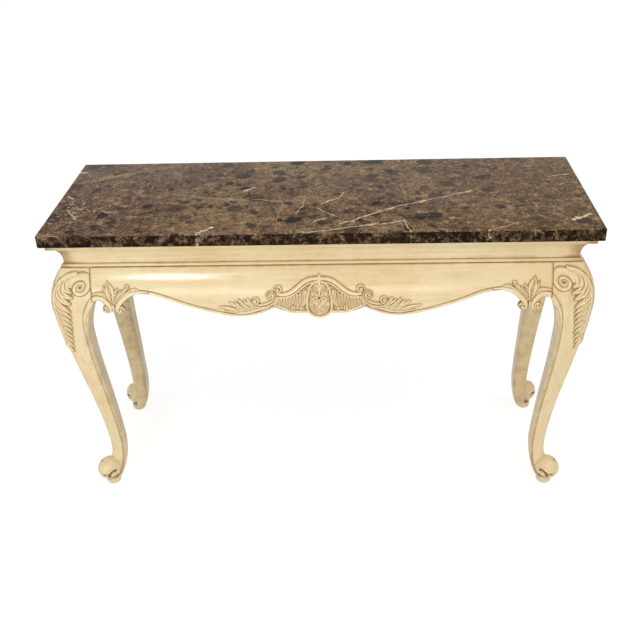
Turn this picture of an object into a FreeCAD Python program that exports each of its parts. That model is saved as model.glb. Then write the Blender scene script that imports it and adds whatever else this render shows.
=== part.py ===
"""Pier table: a painted console base on four scroll-footed cabriole legs, with a loose stone top.

Millimetres, +Z up, front toward -Y, origin on the floor under the middle of the top.
An inset is a distance inward from the edges of the stone top, the same along X and along Y.
"""
import FreeCAD, Part
import math
import os

from FreeCAD import Vector

os.makedirs("parts", exist_ok=True)

# Stone top
TOP_LENGTH = 1372.0
TOP_DEPTH = 483.0
TOP_THICKNESS = 32.0
TOP_EDGE_EASE = 2.5
TOP_HEIGHT = 822.0

# Soft dots that carry the stone
SLAB_PAD_DIAMETER = 14.0
SLAB_PAD_THICKNESS = 2.0
SLAB_PAD_PROUD = 0.5
SLAB_PAD_CLEARANCE = 0.3
SLAB_PAD_END_INSET = 130.0

# Coved cornice
CORNICE_HEIGHT = 71.5
CORNICE_INSET = 14.0
CORNICE_BAND = 13.0
CORNICE_BAND_STEP = 3.0
CORNICE_COVE_DROP = 42.0
CORNICE_NECK_INSET = 44.0
CORNICE_BEAD = 8.0
CORNICE_BEAD_PROUD = 7.0
CORNICE_BACK_INSET = 86.0

# Leg post, where the aprons join
POST_INSET = 35.0
POST_SIZE = 77.0
POST_DEPTH = 87.0

# Cabriole curve
KNEE_DROP = 101.0
KNEE_INSET = 6.5
SHOULDER_POWER = 2.3
CALF_DROP = 194.0
CALF_SIZE = 66.5
ANKLE_HEIGHT = 139.0
ANKLE_INSET = 67.0
ANKLE_SIZE = 40.5
LEG_SWING = 0.5
LEG_TAPER_POWER = 1.5
EAR_POWER = 2.0
NOSE_RADIUS = 8.0
ARRIS_RADIUS = 1.0
INNER_ROUND = 14.0

# Scroll foot
SCROLL_RADIUS = 34.0
SCROLL_WIDTH = 54.0
SCROLL_ROUND = 20.0
SCROLL_INSET = 55.5
SCROLL_CENTRE_HEIGHT = 55.0
SCROLL_EYE_RADIUS = 9.0
SCROLL_EYE_PROUD = 1.5
HEEL_DRAW = 38.0
HEEL_BOTTOM = 9.0
FOOT_PAD_DIAMETER = 42.0
FOOT_PAD_INSET = 61.0
FOOT_PAD_TOP = 24.0

# Nailed glide under each foot
GLIDE_DIAMETER = 24.0
GLIDE_THICKNESS = 4.0
GLIDE_NAIL_DIAMETER = 2.6
GLIDE_NAIL_LENGTH = 18.0
GLIDE_NAIL_CLEARANCE = 0.1

# Aprons and their tenons
APRON_BACK_INSET = 62.0
APRON_BEAD = 7.0
APRON_BEAD_PROUD = 3.0
TENON_THICKNESS = 14.0
TENON_INSET = 45.0
TENON_LENGTH = 40.0
TENON_TOP_DROP = 15.0
TENON_HEIGHT = 62.0
TENON_CLEARANCE = 0.2

# Lower edge of the front apron, as depths below the top of the frame
FRONT_CENTRE_DEPTH = 121.5
FRONT_CENTRE_HALF = 60.0
FRONT_CUSP_DEPTH = 103.5
FRONT_CUSP_PLACE = 112.5
FRONT_BELLY_DEPTH = 130.0
FRONT_BELLY_PLACE = 200.0
FRONT_ARCH_DEPTH = 62.5
FRONT_ARCH_FROM_END = 126.0
PENDANT_FROM_END = 50.0
PENDANT_DEPTH = 113.0
PENDANT_HALF = 17.0
END_ARCH_FROM_END = 14.0
END_ARCH_DEPTH = 80.0
APRON_END_DEPTH = 84.0

# Lower edge of the plain side and back aprons
SIDE_BELLY_DEPTH = 118.0
SIDE_ARCH_FROM_END = 14.0

# Applied carving
CARVING_PROUD = 4.5
CARVING_HOOK = 14.0
SHIELD_HALF = 34.5
SHIELD_TOP_DEPTH = 22.0
SHIELD_BOTTOM_DEPTH = 134.5
WING_END = 128.0
WING_TOP_DEPTH = 32.0
WING_CURL_DEPTH = 58.0
WING_CURL_SIZE = 22.0
WING_ROOT_DROP = 6.0
WING_ARM_DROP = 14.0
WING_CUSP_GAP = 5.0
WING_EDGE_GAP = 2.0
SPRAY_END = 254.0
SPRAY_END_DEPTH = 107.0
SPRAY_LAP = 10.0
SPRAY_ROOT_DROP = 12.0
SPRAY_CREST_DROP = 25.0
SPRAY_SAG = 6.0
SPRAY_CUSP_GAP = 14.0
LEAF_TIP_FROM_END = 43.0
LEAF_TIP_DEPTH = 26.0
LEAF_HALF = 17.0
LEAF_STEM_HALF = 4.0
LEAF_STEM_LAP = 8.0
SCROLL_ARM_WIDTH = 9.0
SCROLL_ARM_GAP = 3.0
INNER_ARM_FROM_ARCH = 20.0
INNER_ARM_SAG = 8.0
OUTER_ARM_END_DROP = 2.0
OUTER_ARM_CREST = 4.0
SCROLL_CURL_RADIUS = 9.0
SCROLL_CURL_SPREAD = 14.5

# Corner blocks
BLOCK_REACH = 78.0
BLOCK_THICKNESS = 24.0
BLOCK_POST_GAP = 2.0

# Wood screws
SCREW_DIAMETER = 4.0
SCREW_LENGTH = 40.0
SCREW_HEAD_DIAMETER = 8.0
SCREW_HEAD_DEPTH = 3.0
SCREW_CLEARANCE = 0.1
SCREW_WOOD = 18.0
SCREW_FROM_POST = 38.0
CORNICE_SCREW_FROM_POST = 16.0
CORNICE_SCREW_INSET = 74.0
CORNICE_SCREW_WOOD = 14.0

# Pegs and tongues
DOWEL_DIAMETER = 10.0
DOWEL_LENGTH = 40.0
DOWEL_CLEARANCE = 0.1
DOWEL_ALONG_INSET = 100.0
DOWEL_ACROSS_INSET = 72.0
SPLINE_THICKNESS = 3.0
SPLINE_LENGTH = 40.0
SPLINE_WIDTH = 30.0
SPLINE_DROP = 20.0
SPLINE_INSET = 60.0
SPLINE_CLEARANCE = 0.1

# Cross bearers
BEARER_WIDTH = 70.0
BEARER_THICKNESS = 30.0
BEARER_PLACE = 230.0
BEARER_TONGUE_LENGTH = 12.0
BEARER_TONGUE_THICKNESS = 14.0
BEARER_CLEARANCE = 0.2

# Heights and half sizes that follow from the above
HALF_LENGTH = TOP_LENGTH / 2
HALF_DEPTH = TOP_DEPTH / 2
STONE_UNDERSIDE = TOP_HEIGHT - TOP_THICKNESS
CORNICE_TOP = STONE_UNDERSIDE - SLAB_PAD_PROUD
FRAME_TOP = CORNICE_TOP - CORNICE_HEIGHT
POST_BACK_INSET = POST_INSET + POST_SIZE
APRON_HALF = HALF_LENGTH - POST_BACK_INSET
SIDE_HALF = HALF_DEPTH - POST_BACK_INSET
KNEE_HEIGHT = FRAME_TOP - KNEE_DROP
CALF_HEIGHT = FRAME_TOP - CALF_DROP
POST_BOTTOM = FRAME_TOP - POST_DEPTH
LOWEST_CARVING = FRAME_TOP - SHIELD_BOTTOM_DEPTH - CARVING_HOOK
CORNER_SIGNS = {"front_left": (-1, -1), "front_right": (1, -1), "back_left": (-1, 1), "back_right": (1, 1)}


def save(name, shape):
    """Write one piece, as a solid or a group of solids."""
    solids = shape.Solids
    piece = solids[0] if len(solids) == 1 else Part.makeCompound(solids)
    piece.exportStep("parts/" + name + ".step")


def chain(points):
    """Straight edges through the points."""
    return [Part.makeLine(a, b) for a, b in zip(points, points[1:])]


def curve(points):
    """One smooth edge through the points."""
    spline = Part.BSplineCurve()
    spline.interpolate(points)
    return spline.toShape()


def arc(start, middle, end):
    """One circular edge through three points."""
    return Part.Arc(start, middle, end).toShape()


def filled(edges):
    """Flat face inside a closed run of edges."""
    return Part.Face(Part.Wire(Part.__sortEdges__(edges)))


def in_corner(shape, corner):
    """Copy of a shape made for the front left corner, mirrored to the named corner."""
    sign_x, sign_y = CORNER_SIGNS[corner]
    placed = shape.copy()
    if sign_x > 0:
        placed = placed.mirror(Vector(0, 0, 0), Vector(1, 0, 0))
    if sign_y > 0:
        placed = placed.mirror(Vector(0, 0, 0), Vector(0, 1, 0))
    return placed


def mirrored_x(shape):
    """Copy of a shape on the other side of the table's middle, along X."""
    return shape.mirror(Vector(0, 0, 0), Vector(1, 0, 0))


def group(shapes):
    """Several separate solids as one piece."""
    return Part.makeCompound([solid for shape in shapes for solid in shape.Solids])


def at_corner(inset_x, inset_y, z):
    """Point at two insets from the front left corner of the top."""
    return Vector(-HALF_LENGTH + inset_x, -HALF_DEPTH + inset_y, z)


# Leg and apron profile


def outer_inset(z):
    """Inset of the front of the leg and apron: a swelling shoulder to the knee, then an S to the ankle."""
    if z >= KNEE_HEIGHT:
        share = (z - KNEE_HEIGHT) / KNEE_DROP
        return KNEE_INSET + (POST_INSET - KNEE_INSET) * share ** SHOULDER_POWER
    share = (KNEE_HEIGHT - z) / (KNEE_HEIGHT - ANKLE_HEIGHT)
    eased = (1 - math.cos(math.pi * share)) / 2
    swing = (1 - LEG_SWING) * share + LEG_SWING * eased
    return KNEE_INSET + (ANKLE_INSET - KNEE_INSET) * swing


def leg_size(z):
    """Side of the square leg between the calf and the ankle."""
    share = (z - ANKLE_HEIGHT) / (CALF_HEIGHT - ANKLE_HEIGHT)
    return ANKLE_SIZE + (CALF_SIZE - ANKLE_SIZE) * max(share, 0.0) ** LEG_TAPER_POWER


def leg_section(z, outer, inner, nose, inside):
    """Square outline at height z with round outer and inside corners and two eased corners."""
    x0, y0 = -HALF_LENGTH + outer, -HALF_DEPTH + outer
    x1, y1 = -HALF_LENGTH + inner, -HALF_DEPTH + inner
    ease = ARRIS_RADIUS
    corners = [(x1, y0, ease, -1, 1), (x1, y1, inside, -1, -1), (x0, y1, ease, 1, -1), (x0, y0, nose, 1, 1)]
    turns = []
    for index, (x, y, radius, side_x, side_y) in enumerate(corners):
        centre = Vector(x + side_x * radius, y + side_y * radius, z)
        reach = radius / math.sqrt(2)
        middle = centre + Vector(-side_x * reach, -side_y * reach, 0)
        ends = [Vector(centre.x, y, z), Vector(x, centre.y, z)]
        if index % 2:
            ends.reverse()
        turns.append((ends[0], middle, ends[1]))
    edges = []
    for index, (start, middle, end) in enumerate(turns):
        edges.append(arc(start, middle, end))
        edges.append(Part.makeLine(end, turns[(index + 1) % len(turns)][0]))
    return Part.Wire(edges)


def scroll_foot():
    """Round scroll across the diagonal of the corner, with its eyes and the pad below."""
    across = Vector(1, -1, 0).normalize()
    centre = at_corner(SCROLL_INSET, SCROLL_INSET, SCROLL_CENTRE_HEIGHT)
    roll = Part.makeCylinder(SCROLL_RADIUS, SCROLL_WIDTH, centre - across * (SCROLL_WIDTH / 2), across)
    rims = [edge for edge in roll.Edges if len(edge.Vertexes) == 1]
    roll = roll.makeFillet(SCROLL_ROUND, rims)
    eye_width = SCROLL_WIDTH + 2 * SCROLL_EYE_PROUD
    eye = Part.makeCylinder(SCROLL_EYE_RADIUS, eye_width, centre - across * (eye_width / 2), across)
    pad_base = at_corner(FOOT_PAD_INSET, FOOT_PAD_INSET, GLIDE_THICKNESS)
    pad = Part.makeCylinder(FOOT_PAD_DIAMETER / 2, FOOT_PAD_TOP - GLIDE_THICKNESS, pad_base)
    return roll.fuse([eye, pad])


def carved_leg():
    """Front left leg: post with the knee swell, curved leg below it and scroll foot."""
    post_rows = 7
    post_sections = []
    for row in range(post_rows):
        z = FRAME_TOP - POST_DEPTH * row / (post_rows - 1)
        post_sections.append(leg_section(z, outer_inset(z), POST_BACK_INSET, NOSE_RADIUS, ARRIS_RADIUS))
    post = Part.makeLoft(post_sections, True, False)

    calf_inner = outer_inset(CALF_HEIGHT) + CALF_SIZE
    ear_rows = 8
    sections = []
    for row in range(ear_rows):
        share = 1 - row / (ear_rows - 1)
        z = CALF_HEIGHT + (POST_BOTTOM - CALF_HEIGHT) * share
        inner = calf_inner + (POST_BACK_INSET - calf_inner) * share ** EAR_POWER
        inside = INNER_ROUND + (ARRIS_RADIUS - INNER_ROUND) * share
        sections.append(leg_section(z, outer_inset(z), inner, NOSE_RADIUS, inside))
    shin_rows = 9
    for row in range(1, shin_rows + 1):
        z = CALF_HEIGHT + (ANKLE_HEIGHT - CALF_HEIGHT) * row / shin_rows
        outer = outer_inset(z)
        size = leg_size(z)
        sections.append(leg_section(z, outer, outer + size, NOSE_RADIUS, INNER_ROUND * size / CALF_SIZE))
    heel_rows = 6
    heel_turn = math.radians(78)
    for row in range(1, heel_rows + 1):
        angle = heel_turn * row / heel_rows
        z = ANKLE_HEIGHT - (ANKLE_HEIGHT - HEEL_BOTTOM) * math.sin(angle)
        inner = ANKLE_INSET + ANKLE_SIZE - HEEL_DRAW * (1 - math.cos(angle))
        size = inner - ANKLE_INSET
        nose = NOSE_RADIUS * size / ANKLE_SIZE
        sections.append(leg_section(z, ANKLE_INSET, inner, nose, INNER_ROUND * size / CALF_SIZE))
    shin = Part.makeLoft(sections, True, False)
    return post.fuse([shin, scroll_foot()]).removeSplitter()


def bulged_bar(half, proud, along_x):
    """Bar with the leg's swelling face, moved out by proud; it runs along one edge of the top."""
    rows = 12
    face = []
    for row in range(rows):
        z = FRAME_TOP + (LOWEST_CARVING - FRAME_TOP) * row / (rows - 1)
        face.append((outer_inset(z) - proud, z))
    ring = face + [(APRON_BACK_INSET, LOWEST_CARVING), (APRON_BACK_INSET, FRAME_TOP)]
    if along_x:
        points = [Vector(-half, -HALF_DEPTH + inset, z) for inset, z in ring]
        travel = Vector(2 * half, 0, 0)
    else:
        points = [Vector(-HALF_LENGTH + inset, -half, z) for inset, z in ring]
        travel = Vector(0, 2 * half, 0)
    edges = [curve(points[:rows])] + chain(points[rows - 1:] + points[:1])
    return filled(edges).extrude(travel)


def lower_edge(runs):
    """Edges along the right half of an apron's lower edge: straight for two points, smooth for more."""
    edges = []
    for run in runs:
        points = [Vector(place, 0, FRAME_TOP - depth) for place, depth in run]
        edges.append(curve(points) if len(points) > 2 else Part.makeLine(*points))
    return edges


def board(half, runs):
    """Upright board along X, closed above by the frame top, with the lower edge mirrored about its middle."""
    right = lower_edge(runs)
    left = [edge.mirror(Vector(0, 0, 0), Vector(1, 0, 0)) for edge in right]
    end_depth = runs[-1][-1][1]
    outline = [
        Vector(half, 0, FRAME_TOP - end_depth),
        Vector(half, 0, FRAME_TOP),
        Vector(-half, 0, FRAME_TOP),
        Vector(-half, 0, FRAME_TOP - end_depth),
    ]
    face = filled(right + left + chain(outline))
    face.translate(Vector(0, -HALF_LENGTH, 0))
    return face.extrude(Vector(0, TOP_LENGTH, 0))


def front_runs():
    """Lower edge of the front apron from its middle: centre, cusp, belly, arch, pendant and end arch."""
    arch = APRON_HALF - FRONT_ARCH_FROM_END
    span = arch - FRONT_BELLY_PLACE
    rise = FRONT_BELLY_DEPTH - FRONT_ARCH_DEPTH
    pendant = APRON_HALF - PENDANT_FROM_END
    end_arch = APRON_HALF - END_ARCH_FROM_END
    cusp_span = FRONT_CUSP_PLACE - FRONT_CENTRE_HALF
    cusp_rise = FRONT_CENTRE_DEPTH - FRONT_CUSP_DEPTH
    fall = FRONT_BELLY_DEPTH - FRONT_CUSP_DEPTH
    lobe = FRONT_BELLY_PLACE - FRONT_CUSP_PLACE
    shoulder = pendant - PENDANT_HALF
    drop = PENDANT_DEPTH - FRONT_ARCH_DEPTH
    shoulder_depth = FRONT_ARCH_DEPTH + 0.88 * drop
    outer_shoulder = pendant + PENDANT_HALF
    end_span = end_arch - outer_shoulder
    end_rise = shoulder_depth - END_ARCH_DEPTH
    return [
        [(0, FRONT_CENTRE_DEPTH), (FRONT_CENTRE_HALF, FRONT_CENTRE_DEPTH)],
        [
            (FRONT_CENTRE_HALF, FRONT_CENTRE_DEPTH),
            (FRONT_CENTRE_HALF + 0.45 * cusp_span, FRONT_CENTRE_DEPTH - 0.3 * cusp_rise),
            (FRONT_CUSP_PLACE, FRONT_CUSP_DEPTH),
        ],
        [
            (FRONT_CUSP_PLACE, FRONT_CUSP_DEPTH),
            (FRONT_CUSP_PLACE + 0.27 * lobe, FRONT_CUSP_DEPTH + 0.45 * fall),
            (FRONT_CUSP_PLACE + 0.6 * lobe, FRONT_CUSP_DEPTH + 0.85 * fall),
            (FRONT_BELLY_PLACE, FRONT_BELLY_DEPTH),
            (FRONT_BELLY_PLACE + 0.18 * span, FRONT_BELLY_DEPTH - 0.08 * rise),
            (FRONT_BELLY_PLACE + 0.54 * span, FRONT_BELLY_DEPTH - 0.485 * rise),
            (FRONT_BELLY_PLACE + 0.83 * span, FRONT_BELLY_DEPTH - 0.89 * rise),
            (arch, FRONT_ARCH_DEPTH),
            (arch + 0.38 * (shoulder - arch), FRONT_ARCH_DEPTH + 0.09 * drop),
            (arch + 0.68 * (shoulder - arch), FRONT_ARCH_DEPTH + 0.32 * drop),
            (arch + 0.89 * (shoulder - arch), FRONT_ARCH_DEPTH + 0.61 * drop),
            (shoulder, shoulder_depth),
        ],
        [
            (shoulder, shoulder_depth),
            (pendant - 0.6 * PENDANT_HALF, PENDANT_DEPTH),
            (pendant, PENDANT_DEPTH - 3),
        ],
        [
            (pendant, PENDANT_DEPTH - 3),
            (pendant + 0.6 * PENDANT_HALF, PENDANT_DEPTH),
            (outer_shoulder, shoulder_depth),
        ],
        [
            (outer_shoulder, shoulder_depth),
            (outer_shoulder + 0.24 * end_span, END_ARCH_DEPTH + 0.46 * end_rise),
            (outer_shoulder + 0.56 * end_span, END_ARCH_DEPTH + 0.12 * end_rise),
            (end_arch, END_ARCH_DEPTH),
            (APRON_HALF, APRON_END_DEPTH),
        ],
    ]


def plain_runs(half):
    """Lower edge of a plain apron from its middle: a long belly that rises to an arch beside the leg."""
    arch = half - SIDE_ARCH_FROM_END
    rise = SIDE_BELLY_DEPTH - END_ARCH_DEPTH
    return [
        [
            (0, SIDE_BELLY_DEPTH),
            (0.35 * arch, SIDE_BELLY_DEPTH - 0.1 * rise),
            (0.75 * arch, SIDE_BELLY_DEPTH - 0.72 * rise),
            (arch, END_ARCH_DEPTH),
            (half, APRON_END_DEPTH),
        ]
    ]


def tenon(end_x, clearance):
    """Tongue at the right end of a front rail, seen from the shoulder; grown by the clearance for a mortise."""
    low = FRAME_TOP - TENON_TOP_DROP - TENON_HEIGHT - clearance
    base = Vector(end_x, -HALF_DEPTH + TENON_INSET - clearance, low)
    return Part.makeBox(
        TENON_LENGTH + clearance, TENON_THICKNESS + 2 * clearance, TENON_HEIGHT + 2 * clearance, base
    )


def front_rail(half, runs):
    """Apron along the front edge: bulged board with a bead along its lower edge and a tenon at each end."""
    shape = board(half, runs)
    raised = shape.copy()
    raised.translate(Vector(0, 0, APRON_BEAD))
    bead = shape.cut(raised).common(bulged_bar(half, APRON_BEAD_PROUD, True))
    rail = shape.common(bulged_bar(half, 0.0, True)).fuse(bead)
    tongue = tenon(half, 0.0)
    return rail.fuse([tongue, mirrored_x(tongue)]).removeSplitter()


def turned_to_side(rail):
    """A rail made along the front edge, turned to lie along the left edge."""
    turned = rail.copy()
    turned.translate(Vector(0, HALF_DEPTH, 0))
    turned.rotate(Vector(0, 0, 0), Vector(0, 0, 1), -90)
    turned.translate(Vector(-HALF_LENGTH, 0, 0))
    return turned


# Carving on the front apron


def carving(faces, apron):
    """Flat shapes on the apron face, raised off it and hooked under its lower edge where they hang below."""
    skin = bulged_bar(APRON_HALF, CARVING_PROUD, True).cut(bulged_bar(APRON_HALF, -CARVING_HOOK, True))
    pieces = []
    for face in faces:
        moved = face.copy()
        moved.translate(Vector(0, -HALF_DEPTH - CARVING_PROUD, 0))
        pieces.append(moved.extrude(Vector(0, APRON_BACK_INSET, 0)))
    body = pieces[0] if len(pieces) == 1 else pieces[0].fuse(pieces[1:])
    solids = body.common(skin).cut(apron).Solids
    return max(solids, key=lambda solid: solid.Volume)


def on_apron(places):
    """Points on the apron plane from pairs of place and depth."""
    return [Vector(place, 0, FRAME_TOP - depth) for place, depth in places]


def shield_face():
    """Shield with a rounded foot and a narrow crest."""
    tall = SHIELD_BOTTOM_DEPTH - SHIELD_TOP_DEPTH
    right = on_apron([
        (0, SHIELD_BOTTOM_DEPTH),
        (0.6 * SHIELD_HALF, SHIELD_BOTTOM_DEPTH - 0.03 * tall),
        (SHIELD_HALF, SHIELD_BOTTOM_DEPTH - 0.17 * tall),
        (SHIELD_HALF, SHIELD_BOTTOM_DEPTH - 0.5 * tall),
        (0.75 * SHIELD_HALF, SHIELD_BOTTOM_DEPTH - 0.82 * tall),
        (0, SHIELD_TOP_DEPTH),
    ])
    edge = curve(right)
    return filled([edge, edge.mirror(Vector(0, 0, 0), Vector(1, 0, 0))])


def wing_face():
    """Scroll arm above a feathered wing, from the shield out to the curled end."""
    upper = on_apron([
        (0.6 * SHIELD_HALF, SHIELD_TOP_DEPTH + WING_ROOT_DROP),
        (0.45 * WING_END, WING_TOP_DEPTH + WING_ARM_DROP),
        (0.85 * WING_END, WING_CURL_DEPTH),
        (WING_END, WING_CURL_DEPTH + WING_CURL_SIZE),
    ])
    lower = on_apron([
        (WING_END, WING_CURL_DEPTH + WING_CURL_SIZE),
        (0.85 * WING_END, FRONT_CUSP_DEPTH - WING_CUSP_GAP),
        (FRONT_CENTRE_HALF, FRONT_CENTRE_DEPTH - WING_EDGE_GAP),
        (0.6 * SHIELD_HALF, FRONT_CENTRE_DEPTH - WING_EDGE_GAP),
    ])
    return filled([curve(upper), curve(lower), Part.makeLine(lower[-1], upper[0])])


def spray_face():
    """Tapering spray that runs out from the wing toward the leg."""
    upper = on_apron([
        (WING_END - SPRAY_LAP, WING_CURL_DEPTH + SPRAY_ROOT_DROP),
        (WING_END + 0.35 * (SPRAY_END - WING_END), WING_CURL_DEPTH + SPRAY_CREST_DROP),
        (SPRAY_END, SPRAY_END_DEPTH),
    ])
    lower = on_apron([
        (SPRAY_END, SPRAY_END_DEPTH),
        (WING_END + 0.4 * (SPRAY_END - WING_END), SPRAY_END_DEPTH + SPRAY_SAG),
        (WING_END - SPRAY_LAP, FRONT_CUSP_DEPTH - SPRAY_CUSP_GAP),
    ])
    return filled([curve(upper), curve(lower), Part.makeLine(lower[-1], upper[0])])


def arm_face(inner, middle, outer):
    """Curved band of one width through three points of place and depth."""
    places = [(place, depth - SCROLL_ARM_WIDTH) for place, depth in (inner, middle, outer)]
    upper = on_apron(places)
    lower = on_apron([inner, middle, outer])
    sides = [Part.makeLine(upper[0], lower[0]), Part.makeLine(upper[-1], lower[-1])]
    return filled([arc(*upper), arc(*lower)] + sides)


def leaf_scroll_faces():
    """Upright leaf over two scroll arms that curl together below it."""
    pendant = APRON_HALF - PENDANT_FROM_END
    tip = APRON_HALF - LEAF_TIP_FROM_END
    middle = (LEAF_TIP_DEPTH + PENDANT_DEPTH) / 2
    foot = PENDANT_DEPTH - 2 * SCROLL_CURL_RADIUS
    left = on_apron([(tip, LEAF_TIP_DEPTH), (pendant - LEAF_HALF, middle), (pendant - LEAF_STEM_HALF, foot + LEAF_STEM_LAP)])
    right = on_apron([(tip, LEAF_TIP_DEPTH), (pendant + LEAF_HALF, middle), (pendant + LEAF_STEM_HALF, foot + LEAF_STEM_LAP)])
    leaf = filled([curve(left), curve(right), Part.makeLine(left[-1], right[-1])])
    faces = [leaf]
    for side in (-1, 1):
        centre = on_apron([(pendant + side * SCROLL_CURL_SPREAD, PENDANT_DEPTH - SCROLL_CURL_RADIUS)])[0]
        faces.append(Part.Face(Part.Wire(Part.makeCircle(SCROLL_CURL_RADIUS, centre, Vector(0, 1, 0)))))
    inner_arm = arm_face(
        (APRON_HALF - FRONT_ARCH_FROM_END + INNER_ARM_FROM_ARCH, FRONT_ARCH_DEPTH - SCROLL_ARM_GAP),
        (pendant - 2.4 * PENDANT_HALF, FRONT_ARCH_DEPTH + INNER_ARM_SAG),
        (pendant - SCROLL_ARM_GAP, PENDANT_DEPTH - SCROLL_CURL_RADIUS),
    )
    outer_arm = arm_face(
        (APRON_HALF - SCROLL_ARM_GAP, END_ARCH_DEPTH + OUTER_ARM_END_DROP),
        (APRON_HALF - END_ARCH_FROM_END - OUTER_ARM_CREST, END_ARCH_DEPTH - OUTER_ARM_CREST),
        (pendant + SCROLL_ARM_GAP, PENDANT_DEPTH - SCROLL_CURL_RADIUS),
    )
    return faces + [inner_arm, outer_arm]


# Cornice


def cornice_profile():
    """Band, cove, neck and bead, as pairs of inset and height, with the arc's middle points kept apart."""
    band_low = CORNICE_TOP - CORNICE_BAND
    cove_start = CORNICE_INSET + CORNICE_BAND_STEP
    cove_low = band_low - CORNICE_COVE_DROP
    bead_top = FRAME_TOP + CORNICE_BEAD
    bead_face = CORNICE_NECK_INSET - CORNICE_BEAD_PROUD
    bead_root = bead_face + CORNICE_BEAD / 2
    slant = math.sqrt(0.5)
    cove_middle = (
        cove_start + slant * (CORNICE_NECK_INSET - cove_start),
        cove_low + slant * CORNICE_COVE_DROP,
    )

    def point(pair):
        return Vector(0, -HALF_DEPTH + pair[0], pair[1])

    outline = [
        [(CORNICE_BACK_INSET, FRAME_TOP), (CORNICE_BACK_INSET, CORNICE_TOP)],
        [(CORNICE_BACK_INSET, CORNICE_TOP), (CORNICE_INSET, CORNICE_TOP)],
        [(CORNICE_INSET, CORNICE_TOP), (CORNICE_INSET, band_low)],
        [(CORNICE_INSET, band_low), (cove_start, band_low)],
        [(cove_start, band_low), cove_middle, (CORNICE_NECK_INSET, cove_low)],
        [(CORNICE_NECK_INSET, cove_low), (CORNICE_NECK_INSET, bead_top)],
        [(CORNICE_NECK_INSET, bead_top), (bead_root, bead_top)],
        [(bead_root, bead_top), (bead_face, FRAME_TOP + CORNICE_BEAD / 2), (bead_root, FRAME_TOP)],
        [(bead_root, FRAME_TOP), (CORNICE_BACK_INSET, FRAME_TOP)],
    ]
    edges = []
    for run in outline:
        points = [point(pair) for pair in run]
        edges.append(arc(*points) if len(points) == 3 else Part.makeLine(*points))
    return filled(edges)


def mitred(half, depth):
    """Cornice moulding along a front edge of the given half length, cut at 45 degrees at both ends."""
    bar = cornice_profile()
    bar.translate(Vector(-half, HALF_DEPTH - depth, 0))
    bar = bar.extrude(Vector(2 * half, 0, 0))
    reach = CORNICE_BACK_INSET
    corners = [(-half, 0), (half, 0), (half - reach, reach), (-half + reach, reach), (-half, 0)]
    wedge = filled(chain([Vector(x, -depth + y, FRAME_TOP) for x, y in corners]))
    return bar.common(wedge.extrude(Vector(0, 0, CORNICE_HEIGHT)))


def mitre_spline(clearance):
    """Flat tongue across the front left mitre."""
    height = SPLINE_THICKNESS + 2 * clearance
    length = SPLINE_LENGTH + 2 * clearance
    width = SPLINE_WIDTH + 2 * clearance
    low = CORNICE_TOP - SPLINE_DROP - clearance
    plate = Part.makeBox(length, width, height, Vector(-length / 2, -width / 2, 0))
    plate.rotate(Vector(0, 0, 0), Vector(0, 0, 1), 45)
    plate.translate(at_corner(SPLINE_INSET, SPLINE_INSET, low))
    return plate


def leg_dowel(clearance):
    """Peg between the front left post and the front cornice."""
    half = DOWEL_LENGTH / 2 + clearance
    base = at_corner(DOWEL_ALONG_INSET, DOWEL_ACROSS_INSET, FRAME_TOP - half)
    return Part.makeCylinder(DOWEL_DIAMETER / 2 + clearance, 2 * half, base)


# Cross bearers and soft dots


def bearer(clearance):
    """Right-hand bearer flush with the cornice top, with a tongue at each end; grown for its housings."""
    half_span = HALF_DEPTH - CORNICE_BACK_INSET
    body = Part.makeBox(
        BEARER_WIDTH, 2 * half_span, BEARER_THICKNESS,
        Vector(BEARER_PLACE - BEARER_WIDTH / 2, -half_span, CORNICE_TOP - BEARER_THICKNESS),
    )
    reach = half_span + BEARER_TONGUE_LENGTH + clearance
    low = CORNICE_TOP - (BEARER_THICKNESS + BEARER_TONGUE_THICKNESS) / 2 - clearance
    tongue = Part.makeBox(
        BEARER_WIDTH + 2 * clearance, 2 * reach, BEARER_TONGUE_THICKNESS + 2 * clearance,
        Vector(BEARER_PLACE - BEARER_WIDTH / 2 - clearance, -reach, low),
    )
    return body.fuse(tongue).removeSplitter()


def slab_pad_places():
    """Middle points of the soft dots on the cornice and on the bearers."""
    across = HALF_DEPTH - (CORNICE_INSET + CORNICE_BACK_INSET) / 2
    along = HALF_LENGTH - SLAB_PAD_END_INSET
    places = [(x, y) for x in (-along, 0.0, along) for y in (-across, across)]
    return places + [(-BEARER_PLACE, 0.0), (BEARER_PLACE, 0.0)]


def slab_pad(place, clearance):
    """One soft dot in its shallow recess."""
    base = Vector(place[0], place[1], STONE_UNDERSIDE - SLAB_PAD_THICKNESS)
    return Part.makeCylinder(SLAB_PAD_DIAMETER / 2 + clearance, SLAB_PAD_THICKNESS, base)


# Corner blocks and screws


def corner_block():
    """Brace across the front left inner corner, notched round the post."""
    near = POST_BACK_INSET + BLOCK_POST_GAP
    far = near + BLOCK_REACH
    face = APRON_BACK_INSET
    ring = [(face, near), (near, near), (near, face), (far, face), (face, far), (face, near)]
    outline = filled(chain([at_corner(x, y, FRAME_TOP - BLOCK_THICKNESS) for x, y in ring]))
    return outline.extrude(Vector(0, 0, BLOCK_THICKNESS))


def screw(head, direction, clearance):
    """Countersunk screw from the middle of its head; grown by the clearance for its hole."""
    cone = Part.makeCone(
        SCREW_HEAD_DIAMETER / 2 + clearance, SCREW_DIAMETER / 2 + clearance, SCREW_HEAD_DEPTH, head, direction
    )
    shank = Part.makeCylinder(SCREW_DIAMETER / 2 + clearance, SCREW_LENGTH + clearance, head, direction)
    return cone.fuse(shank)


def screw_hole(head, direction, well):
    """Hole for a screw with a round well behind its head."""
    back = direction * -1
    access = Part.makeCylinder(SCREW_HEAD_DIAMETER / 2 + SCREW_CLEARANCE, well, head, back)
    return screw(head, direction, SCREW_CLEARANCE).fuse(access)


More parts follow.
